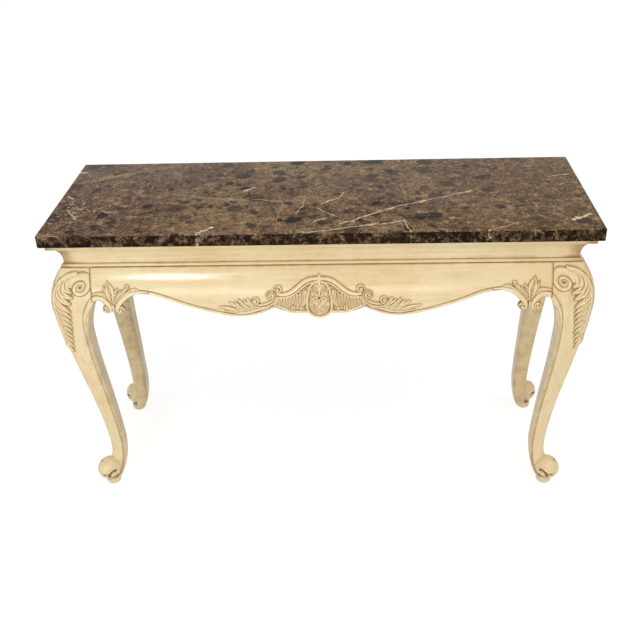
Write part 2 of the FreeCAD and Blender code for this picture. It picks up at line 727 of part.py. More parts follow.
def apron_screw_heads():
    """Head and direction of the two screws from the front left block into its aprons."""
    along = POST_BACK_INSET + BLOCK_POST_GAP + SCREW_FROM_POST
    head = APRON_BACK_INSET + SCREW_WOOD
    z = FRAME_TOP - BLOCK_THICKNESS / 2
    return [(at_corner(along, head, z), Vector(0, -1, 0)), (at_corner(head, along, z), Vector(-1, 0, 0))]


def cornice_screw_heads():
    """Head and direction of the two screws from the front left block up into the cornice."""
    along = POST_BACK_INSET + BLOCK_POST_GAP + CORNICE_SCREW_FROM_POST
    z = FRAME_TOP - CORNICE_SCREW_WOOD
    up = Vector(0, 0, 1)
    return [(at_corner(along, CORNICE_SCREW_INSET, z), up), (at_corner(CORNICE_SCREW_INSET, along, z), up)]


def glide(clearance):
    """Round glide with its nail, under the front left foot."""
    base = at_corner(FOOT_PAD_INSET, FOOT_PAD_INSET, 0)
    disc = Part.makeCylinder(GLIDE_DIAMETER / 2, GLIDE_THICKNESS, base)
    nail = Part.makeCylinder(
        GLIDE_NAIL_DIAMETER / 2 + clearance, GLIDE_THICKNESS + GLIDE_NAIL_LENGTH + clearance, base
    )
    return disc.fuse(nail)


# Pieces made once for the front left corner

block_wells = [screw_hole(head, way, BLOCK_REACH) for head, way in apron_screw_heads()]
cornice_wells = [screw_hole(head, way, BLOCK_THICKNESS) for head, way in cornice_screw_heads()]
apron_tapped = [screw(head, way, SCREW_CLEARANCE) for head, way in apron_screw_heads()]
cornice_tapped = [screw(head, way, SCREW_CLEARANCE) for head, way in cornice_screw_heads()]

side_mortise = turned_to_side(tenon(SIDE_HALF, TENON_CLEARANCE))
side_mortises = [side_mortise, side_mortise.mirror(Vector(0, 0, 0), Vector(0, 1, 0))]
front_mortise = mirrored_x(tenon(APRON_HALF, TENON_CLEARANCE))
leg_cuts = side_mortises + [front_mortise, leg_dowel(DOWEL_CLEARANCE), glide(GLIDE_NAIL_CLEARANCE)]
leg = carved_leg().cut(leg_cuts)
block = corner_block().cut(block_wells + cornice_wells)

for corner in CORNER_SIGNS:
    save("leg_" + corner, in_corner(leg, corner))
    save("corner_block_" + corner, in_corner(block, corner))


def for_corners(shapes):
    """Every shape of the front left corner, in all four corners."""
    return [in_corner(shape, corner) for corner in CORNER_SIGNS for shape in shapes]


save("apron_screws", group(for_corners([screw(head, way, 0.0) for head, way in apron_screw_heads()])))
save("cornice_screws", group(for_corners([screw(head, way, 0.0) for head, way in cornice_screw_heads()])))
save("leg_dowels", group(for_corners([leg_dowel(0.0)])))
save("mitre_splines", group(for_corners([mitre_spline(0.0)])))
save("foot_glides", group(for_corners([glide(0.0)])))

# Aprons

apron_front = front_rail(APRON_HALF, front_runs()).cut(for_corners(apron_tapped))
apron_back = front_rail(APRON_HALF, plain_runs(APRON_HALF)).cut(for_corners(apron_tapped))
apron_back = apron_back.mirror(Vector(0, 0, 0), Vector(0, 1, 0))
apron_left = turned_to_side(front_rail(SIDE_HALF, plain_runs(SIDE_HALF))).cut(for_corners(apron_tapped))
save("apron_front", apron_front)
save("apron_back", apron_back)
save("apron_left", apron_left)
save("apron_right", mirrored_x(apron_left))

# Carving, each piece cut back where the one before it lies

cartouche = carving([shield_face()], apron_front)
wing = carving([wing_face()], apron_front).cut(cartouche)
spray = carving([spray_face()], apron_front).cut(wing)
leaf_scroll = carving(leaf_scroll_faces(), apron_front)
save("apron_cartouche", cartouche)
for name, piece in (("wing", wing), ("spray", spray), ("leaf_scroll", leaf_scroll)):
    whole = max(piece.Solids, key=lambda solid: solid.Volume)
    save(name + "_right", whole)
    save(name + "_left", mirrored_x(whole))

# Cornice and what is let into it

bearers = [bearer(0.0), mirrored_x(bearer(0.0))]
housings = [bearer(BEARER_CLEARANCE), mirrored_x(bearer(BEARER_CLEARANCE))]
pad_recesses = [slab_pad(place, SLAB_PAD_CLEARANCE) for place in slab_pad_places()]
cornice_cuts = for_corners(cornice_tapped + [leg_dowel(DOWEL_CLEARANCE), mitre_spline(SPLINE_CLEARANCE)])
cornice_cuts = cornice_cuts + pad_recesses + housings
cornice_front = mitred(HALF_LENGTH, HALF_DEPTH).cut(cornice_cuts)
cornice_left = mitred(HALF_DEPTH, HALF_LENGTH)
cornice_left.rotate(Vector(0, 0, 0), Vector(0, 0, 1), -90)
cornice_left = cornice_left.cut(cornice_cuts)
save("cornice_front", cornice_front)
save("cornice_back", cornice_front.mirror(Vector(0, 0, 0), Vector(0, 1, 0)))
save("cornice_left", cornice_left)
save("cornice_right", mirrored_x(cornice_left))
for name, piece in zip(("bearer_right", "bearer_left"), bearers):
    save(name, piece.cut(pad_recesses))
save("slab_pads", group([slab_pad(place, 0.0) for place in slab_pad_places()]))

# Stone top

slab = Part.makeBox(TOP_LENGTH, TOP_DEPTH, TOP_THICKNESS, Vector(-HALF_LENGTH, -HALF_DEPTH, STONE_UNDERSIDE))
rim = [edge for edge in slab.Edges if abs(edge.BoundBox.ZMin - edge.BoundBox.ZMax) < TOP_EDGE_EASE]
save("marble_top", slab.makeChamfer(TOP_EDGE_EASE, rim))
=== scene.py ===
"""Looks of the pier table: a carved base in cream paint with brown glaze rubbed into it, and a polished stone top.

Shapes are worked out in millimetres, as in the part's source, and become metres when a mesh is made.
A depth is a distance below the top of the frame. An inset is a distance inward from the edges of the stone top.
Glaze goes from -1 on rubbed crests to 1 in the deepest hollows. Crests are painted paler than the paint, as rubbed
wear with a painted highlight, and a few glazed places marked below are painted shade.
"""
import math

import bpy
import numpy as np
from mathutils import Matrix


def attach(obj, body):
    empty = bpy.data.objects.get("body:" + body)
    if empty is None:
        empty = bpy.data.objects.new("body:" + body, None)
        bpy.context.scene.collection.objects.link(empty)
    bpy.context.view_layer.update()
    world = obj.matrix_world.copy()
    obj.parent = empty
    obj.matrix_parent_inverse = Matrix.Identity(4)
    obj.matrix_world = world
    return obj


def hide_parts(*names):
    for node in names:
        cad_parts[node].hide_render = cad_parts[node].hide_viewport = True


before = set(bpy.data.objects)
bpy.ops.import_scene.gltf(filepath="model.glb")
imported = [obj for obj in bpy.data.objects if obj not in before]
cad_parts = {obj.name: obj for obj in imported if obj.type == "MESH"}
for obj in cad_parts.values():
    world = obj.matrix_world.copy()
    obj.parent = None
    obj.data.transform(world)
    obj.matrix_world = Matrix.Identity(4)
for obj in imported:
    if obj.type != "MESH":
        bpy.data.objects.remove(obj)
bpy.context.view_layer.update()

# Sizes repeated from the part's source
HALF_LENGTH, HALF_DEPTH = 686.0, 241.5
TOP_HEIGHT, STONE_UNDERSIDE, TOP_EDGE_EASE = 822.0, 790.0, 2.5
CORNICE_TOP, FRAME_TOP = 789.5, 718.0
CORNICE_INSET, CORNICE_BAND, CORNICE_BAND_STEP = 14.0, 13.0, 3.0
CORNICE_COVE_DROP, CORNICE_NECK_INSET = 42.0, 44.0
CORNICE_BEAD, CORNICE_BEAD_PROUD, CORNICE_BACK_INSET = 8.0, 7.0, 86.0
POST_INSET, POST_BACK_INSET, POST_DEPTH = 35.0, 112.0, 87.0
KNEE_DROP, KNEE_INSET, SHOULDER_POWER = 101.0, 6.5, 2.3
CALF_DROP, CALF_SIZE, EAR_POWER, INNER_ROUND = 194.0, 66.5, 2.0, 14.0
ANKLE_HEIGHT, ANKLE_INSET, ANKLE_SIZE = 139.0, 67.0, 40.5
LEG_SWING, LEG_TAPER_POWER, NOSE_RADIUS = 0.5, 1.5, 8.0
SCROLL_RADIUS, SCROLL_WIDTH = 34.0, 54.0
SCROLL_INSET, SCROLL_CENTRE_HEIGHT = 55.5, 55.0
HEEL_DRAW, HEEL_BOTTOM = 38.0, 9.0
FOOT_PAD_DIAMETER, FOOT_PAD_INSET, FOOT_PAD_TOP, GLIDE_THICKNESS = 42.0, 61.0, 24.0, 4.0
APRON_BACK_INSET, APRON_BEAD, APRON_BEAD_PROUD = 62.0, 7.0, 3.0
FRONT_CENTRE_DEPTH, FRONT_CENTRE_HALF = 121.5, 60.0
FRONT_CUSP_DEPTH, FRONT_CUSP_PLACE = 103.5, 112.5
FRONT_BELLY_DEPTH, FRONT_BELLY_PLACE = 130.0, 200.0
FRONT_ARCH_DEPTH, FRONT_ARCH_FROM_END = 62.5, 126.0
PENDANT_FROM_END, PENDANT_DEPTH, PENDANT_HALF = 50.0, 113.0, 17.0
END_ARCH_FROM_END, END_ARCH_DEPTH, APRON_END_DEPTH = 14.0, 80.0, 84.0
SIDE_BELLY_DEPTH, SIDE_ARCH_FROM_END = 118.0, 14.0
SHIELD_HALF, SHIELD_BOTTOM_DEPTH = 34.5, 134.5

KNEE_HEIGHT = FRAME_TOP - KNEE_DROP
CALF_HEIGHT = FRAME_TOP - CALF_DROP
POST_BOTTOM = FRAME_TOP - POST_DEPTH
APRON_HALF = HALF_LENGTH - POST_BACK_INSET
SIDE_HALF = HALF_DEPTH - POST_BACK_INSET
PENDANT = APRON_HALF - PENDANT_FROM_END

# Sizes of the looks alone: eased edges and the stone's corners
ARRIS_EASE, STONE_CORNER = 1.5, 4.0
# Height where applied carving ends, height far from any, grid step and depth of the hidden back
RIM, FAR, CARVE_STEP, CARVE_BACK = -1.0, 30.0, 0.7, 9.0
# Knee carving's lower end, and its volute's centre from the leg's corner, centre height, radius and eye
KNEE_CARVING_END = 466.0
VOLUTE_IN, VOLUTE_HEIGHT, VOLUTE_SIZE, VOLUTE_EYE = 69.0, 673.0, 47.0, 5.0

CORNERS = {"front_left": (-1, -1), "front_right": (1, -1), "back_left": (-1, 1), "back_right": (1, 1)}
# Edges of the table: half their length, how far out they lie, and the direction along them
EDGES = {
    "front": (HALF_LENGTH, HALF_DEPTH, (1, 0)), "back": (HALF_LENGTH, HALF_DEPTH, (-1, 0)),
    "left": (HALF_DEPTH, HALF_LENGTH, (0, -1)), "right": (HALF_DEPTH, HALF_LENGTH, (0, 1)),
}
MM = 0.001


# Curves and height fields


def smooth_path(points, steps=10):
    """Catmull-Rom curve: each span is a cubic blend of the four nearest points, in every column."""
    p = np.asarray(points, float)
    ends = np.vstack([2 * p[0] - p[1], p, 2 * p[-1] - p[-2]])
    t = np.linspace(0, 1, steps, endpoint=False)[None, :, None]
    a, b, c, d = (ends[k:len(p) - 1 + k][:, None, :] for k in range(4))
    bend, twist = 2 * a - 5 * b + 4 * c - d, 3 * b - a - 3 * c + d
    spans = 0.5 * (2 * b + (c - a) * t + bend * t ** 2 + twist * t ** 3)
    return np.vstack([spans.reshape(-1, p.shape[1]), p[-1:]])


def even_path(path, spacing):
    """The same path with points at one spacing along its length."""
    run = np.r_[0, np.cumsum(np.linalg.norm(np.diff(path[:, :2], axis=0), axis=1))]
    at = np.linspace(0, run[-1], max(int(round(run[-1] / spacing)), 1) + 1)
    return np.stack([np.interp(at, run, column) for column in path.T], -1)


def nearest(path, x, y):
    """Distance from each point to a path, and the path's further columns where it is nearest."""
    start, run = path[:-1, :2], np.diff(path[:, :2], axis=0)
    offset = np.stack([x, y], -1)[..., None, :] - start
    share = np.clip((offset * run).sum(-1) / np.maximum((run ** 2).sum(-1), 1e-9), 0, 1)
    gap = np.linalg.norm(offset - share[..., None] * run, axis=-1)
    pick = gap.argmin(-1)[..., None]
    gap = np.take_along_axis(gap, pick, -1)[..., 0]
    share = np.take_along_axis(share, pick, -1)
    pick = pick[..., 0]
    return gap, path[pick, 2:] * (1 - share) + path[pick + 1, 2:] * share


def joined(*columns):
    """Points from their coordinates, each spread over the shape of the others."""
    return np.stack(np.broadcast_arrays(*columns), -1)


def smoothstep(low, high, value):
    """Rise from 0 to 1 between two values, level at both ends."""
    t = np.clip((value - low) / (high - low), 0, 1)
    return t * t * (3 - 2 * t)


def ridge(value, centre, width):
    """Bell shape of height 1 about a centre value."""
    return np.exp(-((value - centre) / width) ** 2)


def soften(field, times):
    """Field averaged with its neighbours, weights 1 2 1 along each axis in turn, several times over."""
    for _ in range(2 * times):
        padded = np.pad(field, ((1, 1), (0, 0)), mode="edge")
        field = ((padded[:-2] + 2 * field + padded[2:]) / 4).T
    return field


# Sections across a stroke, by the share of the way from its middle to its border
SECTIONS = {
    "rounded": lambda q: np.sqrt(1 - q ** 2),
    "veined": lambda q: np.sqrt(1 - q ** 2) - 0.42 * ridge(q, 0, 0.2),
    "channelled": lambda q: np.sqrt(1 - q ** 6) * (0.55 + 0.45 * smoothstep(0.15, 0.68, q)),
    "domed": lambda q: np.sqrt(1 - q ** 3),
    "flat": lambda q: np.sqrt(1 - q ** 10),
    "pointed": lambda q: 1 - q,
}


def stroke(x, y, points, section):
    """Carved stroke: points hold two places, half width and height; outside it the height falls at 45 degrees."""
    path = smooth_path(points)
    reach = path[:, 2].max() + 12
    low, high = path[:, :2].min(0) - reach, path[:, :2].max(0) + reach
    near = (x > low[0]) & (x < high[0]) & (y > low[1]) & (y < high[1])
    height = np.full(x.shape, -FAR)
    gap, sizes = nearest(path, x[near], y[near])
    half = np.maximum(sizes[:, 0], 0.05)
    q = np.clip(gap / half, 0, 1)
    height[near] = np.where(gap < half, sizes[:, 1] * SECTIONS[section](q), half - gap)
    return height


def curl(x, y, centre, radius, tall, hand, entry):
    """Volute boss: a domed disc cut by a groove that winds in from the entry angle to an eye.

    The groove's radius falls by two thirds of the disc's in a turn.
    Hand is 1 for a counter-clockwise way in, -1 for clockwise.
    """
    across, up = x - centre[0], centre[1] - y
    share = np.hypot(across, up) / radius
    turned = (hand * (np.arctan2(up, across) - math.radians(entry)) / (2 * math.pi)) % 1
    gap = np.minimum(np.abs(share - (1 - 0.66 * turned)), np.abs(share - (0.34 - 0.34 * turned)))
    groove = ridge(gap, 0, 0.13) * smoothstep(0.16, 0.34, share)
    dome = tall * np.sqrt(np.clip(1 - share ** 4, 0, 1)) * (1.12 - 0.24 * share)
    return np.where(share < 1, dome - 0.7 * tall * groove, radius * (1 - share))


def highest(x, y, curls, **strokes):
    """Height of the highest of several curls, and of strokes listed by their section."""
    heights = [stroke(x, y, points, section) for section, rows in strokes.items() for points in rows]
    return np.maximum.reduce(heights + [curl(x, y, *row) for row in curls])


def recess(height, narrow, broad):
    """Glaze, above 0 in hollows: the softened height less the height, at two widths of softening."""
    fine = np.clip((soften(height, narrow) - height) / 0.6, -1, 1)
    wide = np.clip((soften(height, broad) - height) / 1.8, -1, 1)
    return 0.50 * fine + 0.68 * wide


# Meshes


def inside_out(points, faces):
    """Whether the signed volume of a shell of four-cornered faces is negative."""
    a, b, c, d = np.moveaxis((points - points.mean(0))[faces], 1, 0)
    return (a * (np.cross(b, c) + np.cross(c, d))).sum() < 0


def make_piece(name, shells, material, body, nodes, sharp=50):
    """One object from closed shells of points, four-cornered faces, end caps and glaze."""
    points, faces, glaze, base = [], [], [], 0
    for shell_points, quads, caps, shell_glaze in shells:
        points.append(shell_points)
        glaze.append(shell_glaze)
        faces += (quads + base).tolist() + [(cap + base).tolist() for cap in caps]
        base += len(shell_points)
    mesh = bpy.data.meshes.new(name)
    mesh.from_pydata((np.vstack(points) * MM).tolist(), [], faces)
    rubbed = mesh.attributes.new("glaze", "FLOAT", "POINT")
    rubbed.data.foreach_set("value", np.concatenate(glaze).astype(np.float32))
    mesh.polygons.foreach_set("use_smooth", np.ones(len(faces), bool))
    mesh.set_sharp_from_angle(angle=math.radians(sharp))
    mesh.update()
    piece = bpy.data.objects.new(name, mesh)
    bpy.context.scene.collection.objects.link(piece)
    mesh.materials.append(material)
    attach(piece, body)
    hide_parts(*nodes)


def painted(node, kind, shells, paint, sharp=50):
    """A piece of the painted base in place of one node."""
    make_piece(node + "_" + kind, shells, paint, "base", [node], sharp)


def ring_shell(rings, glaze):
    """Closed shell through rings of points, one after the other, with a flat cap at each end."""
    rows, columns = rings.shape[:2]
    index = np.arange(rows * columns).reshape(rows, columns)
    turn = np.roll(index, -1, axis=1)
    quads = np.stack([index[:-1], turn[:-1], turn[1:], index[1:]], -1).reshape(-1, 4)
    points = rings.reshape(-1, 3)
    caps = [index[0][::-1], index[-1]]
    if inside_out(points, quads):
        quads, caps = quads[:, ::-1], [cap[::-1] for cap in caps]
    return points, quads, caps, glaze.reshape(-1)


def patch_shell(place, depth, height, surface):
    """Closed shell of a height field: cells above the rim height, snapped to it, and walls to a hidden back."""
    step = place[0, 1] - place[0, 0]
    live = height > RIM
    cell = live[:-1, :-1] & live[1:, :-1] & live[:-1, 1:] & live[1:, 1:]
    grown = np.pad(cell, 1)
    touching = grown[:-1, :-1].astype(int) + grown[1:, :-1] + grown[:-1, 1:] + grown[1:, 1:]
    used = touching > 0
    border = used & (touching < 4)
    slope_depth, slope_place = np.gradient(height, depth[1, 0] - depth[0, 0], step)
    steep = np.maximum(slope_depth ** 2 + slope_place ** 2, 0.2)
    move = np.where(border, (height - RIM) / steep, 0)
    limit = 1.2 * step
    place = place - np.clip(move * slope_place, -limit, limit)
    depth = depth - np.clip(move * slope_depth, -limit, limit)
    level = np.where(border, RIM, height)
    foot = 0.8 * np.exp(-np.maximum(height, 0) / 1.3)
    glaze = np.clip(recess(np.maximum(height, RIM), 6, 40) + foot, -1, 1)

    number = np.cumsum(used.ravel()).reshape(used.shape) - 1
    count = used.sum()
    front = np.stack([number[:-1, :-1], number[:-1, 1:], number[1:, 1:], number[1:, :-1]], -1)[cell]
    quads = [front, front[:, ::-1] + count]
    for corners, neighbour in (
        (((0, 0), (0, 1)), grown[:-2, 1:-1]), (((1, 1), (1, 0)), grown[2:, 1:-1]),
        (((1, 0), (0, 0)), grown[1:-1, :-2]), (((0, 1), (1, 1)), grown[1:-1, 2:]),
    ):
        rows, columns = np.nonzero(cell & ~neighbour)
        a, b = (number[rows + down, columns + along] for down, along in corners)
        quads.append(np.stack([b, a, a + count, b + count], -1))
    points = np.vstack([surface(place[used], depth[used], out) for out in (level[used], -CARVE_BACK)])
    faces = np.vstack(quads)
    if inside_out(points, faces):
        faces = faces[:, ::-1]
    return points, faces, [], np.concatenate([glaze[used], np.zeros(count)])


def on_edge(edge, along, inset, z):
    """Points beside one edge of the table: a place along it, an inset from it and a height."""
    _, far, (run, cross) = EDGES[edge]
    out = far - inset
    return joined(run * along + cross * out, cross * along - run * out, z)


# Leg and apron profile


def outer_inset(z):
    """Inset of the legs' and aprons' face: a swelling shoulder down to the knee, then an S to the ankle."""
    z = np.asarray(z, float)
    rise = np.clip((z - KNEE_HEIGHT) / KNEE_DROP, 0, None)
    shoulder = KNEE_INSET + (POST_INSET - KNEE_INSET) * rise ** SHOULDER_POWER
    share = np.clip((KNEE_HEIGHT - z) / (KNEE_HEIGHT - ANKLE_HEIGHT), 0, 1)
    swing = (1 - LEG_SWING) * share + LEG_SWING * (1 - np.cos(np.pi * share)) / 2
    return np.where(z >= KNEE_HEIGHT, shoulder, KNEE_INSET + (ANKLE_INSET - KNEE_INSET) * swing)


def inner_inset(z):
    """Inset of a leg's inner faces: the square post, a hollow ear that sweeps out of it, then the shin."""
    z = np.asarray(z, float)
    taper = np.clip((z - ANKLE_HEIGHT) / (CALF_HEIGHT - ANKLE_HEIGHT), 0, 1) ** LEG_TAPER_POWER
    shin = outer_inset(z) + ANKLE_SIZE + (CALF_SIZE - ANKLE_SIZE) * taper
    calf = outer_inset(CALF_HEIGHT) + CALF_SIZE
    rise = np.clip((z - CALF_HEIGHT) / (POST_BOTTOM - CALF_HEIGHT), 0, 1)
    ear = calf + (POST_BACK_INSET - calf) * rise ** EAR_POWER
    return np.where(z >= POST_BOTTOM, POST_BACK_INSET, np.where(z > CALF_HEIGHT, ear, shin))


# Carving on the front apron, in places from the middle and depths


def shield_height(place, depth):
    """Shield: a raised field in a grooved rim, with a rosette of eight petals, sprigs, bosses and a crest."""
    x, half = np.abs(place), SHIELD_HALF
    outline = [(0, 61, half - 5, 1), (0, 80, half - 1, 1), (0, SHIELD_BOTTOM_DEPTH - half, half, 1)]
    field = stroke(x, depth, outline, "pointed")
    inside = np.clip(half * field, 0, None)
    panel = 5.4 + 3.4 * ridge(inside, 3.4, 2.8) - 1.4 * ridge(inside, 8.0, 1.6)
    below = depth - 74
    radius, angle = np.hypot(x, below), np.arctan2(x, below)
    petal = np.abs(np.cos(4 * angle)) ** 0.7
    flower = (1.0 + 4.0 * petal) * np.sqrt(np.clip(1 - (radius / (8 + 6 * petal)) ** 2, 0, 1))
    flower = np.where(radius < 3.6, -0.6 + 2.2 * (radius / 3.6) ** 2, flower)
    raised = np.where(field > 0, panel * smoothstep(-0.4, 1.4, inside) + flower, field)
    sprigs = [
        [(3, 120, 2.4, 7), (12, 116, 5, 9.4), (19, 105, 5, 9.4), (20.5, 94, 1.6, 7.4)],
        [(2, 104, 2, 7), (9, 100, 4, 9), (14, 92, 1.4, 7)],
        [(5, 127, 2, 6.6), (14, 124, 3.4, 8.2), (21.5, 115, 1.4, 7)],
        [(13, 90, 2, 6.6), (20, 85, 4, 8.8), (24, 76, 1.4, 6.8)],
        [(14, 76, 2, 6.6), (20.5, 71, 3.8, 8.8), (24, 63, 1.4, 6.8)],
        [(5, 61, 2.4, 7), (9, 54, 4.6, 9.4), (12, 49, 4.4, 9), (11, 45, 2, 7)],
        [(14, 63, 2.4, 6.8), (18.5, 57, 4.2, 8.8), (20, 52, 3.6, 8), (19, 48, 1.4, 6.4)],
    ]
    crest = [
        [(0, 47, 3, 7), (0, 40, 4.4, 8.5), (0, 31, 6.4, 9), (0, 25, 5, 7.5), (0, 20.5, 2, 4.5)],
        [(3, 42, 2, 5), (7.5, 38, 2.6, 6), (10, 33, 1.6, 5)],
    ]
    bosses = [((0, 93), 4.2, 8.6, 1, 90), ((0, 112), 5.6, 8.6, 1, 90)]
    return np.maximum(raised, highest(x, depth, bosses, veined=sprigs, rounded=crest))


def wing_height(place, depth):
    """Wing: a full scroll arm with a curled end, scallops below it, and feathers down to the apron's edge."""
    arm = [(3, 28.5, 3.6, 6.5), (17, 29, 4, 7.2), (29.5, 32, 4.4, 7.8), (43.5, 40, 4.8, 8), (59, 53, 5, 8),
           (75, 63.5, 4.8, 7.6), (91, 67, 4.4, 7.2), (104, 65, 3.4, 6.4)]
    under = [(14, 36.5, 1.6, 4.6), (28, 40.5, 2.2, 5.2), (42, 49.5, 2.6, 5.6), (58, 62.5, 2.8, 5.6),
             (78, 72.5, 2.6, 5.2), (104, 75.5, 2, 4.4)]
    fill = [(36, 62, 6, 2.8), (50, 82, 20, 3.2), (72, 94, 20, 3.2), (92, 92, 14, 3.0), (106, 90, 8, 2.6)]
    lower = [(26, FRONT_CENTRE_DEPTH - 5, 4.2, 5), (62, FRONT_CENTRE_DEPTH - 5, 4.6, 5.4),
             (80, 112, 4.4, 5.4), (99, 102, 3.6, 5), (111, 99, 2, 4)]
    feathers = []
    for share in np.linspace(0, 1, 9):
        root = np.array([39 + 65 * share, 68 + 10 * smoothstep(0.1, 0.8, share)])
        tip = root + np.array([7 + 3 * share, 32 - 13 * share])
        middle = 0.5 * (root + tip) + np.array([-2.2, 0])
        feathers.append([(*root, 4.2, 6.6), (*middle, 4.3, 6.0), (*tip, 3.0, 4.8)])
    curls = [((103, 54.5), 10.5, 8.6, 1, 195), ((68, 103), 10.5, 8, -1, 250), ((46, 105), 8, 7.6, 1, 290)]
    curls += [((29 + 9 * k, 52 + 5.2 * k), 3.8, 6.4, 1, 90) for k in range(4)]
    return highest(np.abs(place), depth, curls, domed=[arm], rounded=[under, lower], flat=[fill], veined=feathers)


def spray_height(place, depth):
    """Spray: a channelled C-scroll between two curled ends, and leaf strands that fan out along the edge."""
    scroll = [(121, 60.5, 2.6, 6), (113.5, 66, 3.6, 6.6), (112.5, 77, 5, 7.4), (119, 88, 6, 7.8),
              (133, 95.5, 6.4, 7.8), (148, 98, 5.8, 7.4), (160, 95.5, 4.2, 6.8), (170, 88, 2.6, 6)]
    strands = [
        [(152, 107, 3.6, 5), (166, 102, 6, 6.8), (175, 92, 6, 6.8), (181, 80, 2.8, 5.0)],
        [(164, 110, 3.6, 5), (180, 105, 6.2, 6.8), (192, 95, 5.8, 6.6), (203, 83, 2.8, 5.0)],
        [(180, 112, 3.6, 4.8), (197, 107, 6, 6.4), (211, 98, 5.4, 6), (225, 89, 2.6, 4.6)],
        [(196, 114.5, 3.4, 4.4), (215, 110, 5.4, 5.8), (234, 104, 4.6, 5.2), (253, 100, 1.8, 3.8)],
    ]
    stems = [
        [(172, 97, 2, 4.6), (184, 90, 3.4, 5.4), (191, 82, 1.2, 4)],
        [(196, 101, 2, 4.4), (208, 92, 3, 5), (214, 86, 1, 3.6)],
        [(128, 103, 2.4, 4.4), (150, 107.5, 3.8, 5.2), (176, 115.5, 4.2, 5), (206, 119, 3, 4.2), (238, 112, 1.2, 3)],
    ]
    curls = [((123.5, 69), 10.5, 8.4, -1, 215), ((161.5, 84.5), 10.5, 8.4, 1, 235)]
    return highest(np.abs(place), depth, curls, channelled=[scroll], veined=strands, rounded=stems)


def leaf_scroll_height(place, depth):
    """Leaf scroll: two full arms that leave the bead and curl apart, under a pointed leaf with side leaves."""
    arms = [
        [(-92, 58.5, 2, 3), (-70, 57.8, 3.2, 4.6), (-51, 61, 5.4, 6.8), (-34, 70, 6.8, 8), (-21, 82.5, 7, 8.6),
         (-12.5, 95, 6, 8.4), (-10.5, 105, 4.6, 7.8), (-15, 113, 3, 7)],
        [(50, 76, 6, 6), (36, 71.5, 6.6, 7), (23, 74.5, 7, 7.8), (12.5, 85, 6.6, 8.2),
         (6, 98, 5.2, 8), (7, 108, 3.8, 7.4), (13, 113.5, 2.6, 6.6)],
    ]
    leaves = [
        [(-8, 88, 2.2, 5.5), (-28, 69, 4.6, 6.6), (-48, 57, 5, 6.2), (-60, 52, 4, 5.4), (-70, 54, 1.4, 3.6)],
        [(-6, 86, 2.2, 5.8), (-20, 68, 5, 7.4), (-31, 57, 5, 7.2), (-39, 48.5, 3, 6)],
        [(-4, 84, 2, 5.6), (-13, 68, 4.8, 6.6), (-21, 58, 2.4, 5), (-25, 52, 1, 4)],
        [(5, 80, 2, 5.6), (15, 68, 4.8, 6.8), (26, 62, 4.6, 6.2), (38, 61, 3, 5.4), (48, 63, 1.6, 4)],
        [(2, 78, 3, 6.4), (12, 65, 4.6, 7.2), (22, 57, 1.4, 5)],
        [(3, 68, 4, 7), (11, 56, 5.6, 8.2), (17, 48, 3.4, 7), (19, 42, 1.2, 5)],
        [(-1, 70, 4, 7), (-8, 60, 5.6, 8.2), (-13.5, 53, 3.2, 7), (-17, 48, 1.2, 5)],
    ]
    spear = [(0, 94, 2.6, 6.6), (0, 78, 6, 8.4), (1.5, 62, 10.6, 9.2), (4, 49, 10.4, 9.2), (6.8, 39, 5.6, 8),
             (8.4, 30, 0.9, 5)]
    clasp = [(-1, 104, 4, 6.2), (-1, 94, 3.4, 6.8)]
    curls = [((-18.5, 105.5), 10.6, 9.8, -1, 40), ((17.5, 105), 10.2, 9.6, 1, 140), ((-41, 45), 6, 8, 1, 90)]
    x = np.abs(place) - PENDANT
    return highest(x, depth, curls, domed=arms, veined=leaves, channelled=[spear], rounded=[clasp])


def on_apron_face(place, depth, height):
    """Points a height out from the front apron's swelling face."""
    z = FRAME_TOP - depth
    return on_edge("front", place, outer_inset(z) - height, z)


# Each carving's field, range of places, range of depths and the ends of its nodes' names
CARVINGS = {
    "apron_cartouche": (shield_height, (-37.4, 38), (16, 138), ("",)),
    "wing": (wing_height, (0.5, 118), (22, 124), ("_left", "_right")),
    "spray": (spray_height, (104, 259), (54, 126), ("_left", "_right")),
    "leaf_scroll": (leaf_scroll_height, (PENDANT - 96, PENDANT + 50), (22, 120), ("_left", "_right")),
}


def carve(paint):
    """All applied carving, each as one patch; a left one is the right one mirrored."""
    for name, (field, places, depths, sides) in CARVINGS.items():
        place, depth = np.meshgrid(np.arange(*places, CARVE_STEP), np.arange(*depths, CARVE_STEP))
        points, quads, caps, glaze = patch_shell(place, depth, field(place, depth), on_apron_face)
        for side in sides:
            shell = (points, quads, caps, glaze)
            if side == "_left":
                shell = (points * (-1, 1, 1), quads[:, ::-1], caps, glaze)
            painted(name + side, "carved", [shell], paint)


def carving_halo(place, depth):
    """Glaze left on the face round the carving: it fades with the distance outside each carved outline."""
    x, margin = np.abs(place), 6
    outline = np.full(place.shape, -FAR)
    for field, (start, end), (top, _), _ in CARVINGS.values():
        near = (x > start - margin) & (x < end + margin) & (depth > top - margin)
        outline[near] = np.maximum(outline[near], field(place[near], depth[near]))
    return 0.95 * np.exp(np.minimum(outline, 0) / 1.8)


# Aprons


def between(start, end, *shares):
    """Points from one point to another, each at its own share of the way along and of the way down."""
    return [(start[0] + a * (end[0] - start[0]), start[1] + b * (end[1] - start[1])) for a, b in shares]


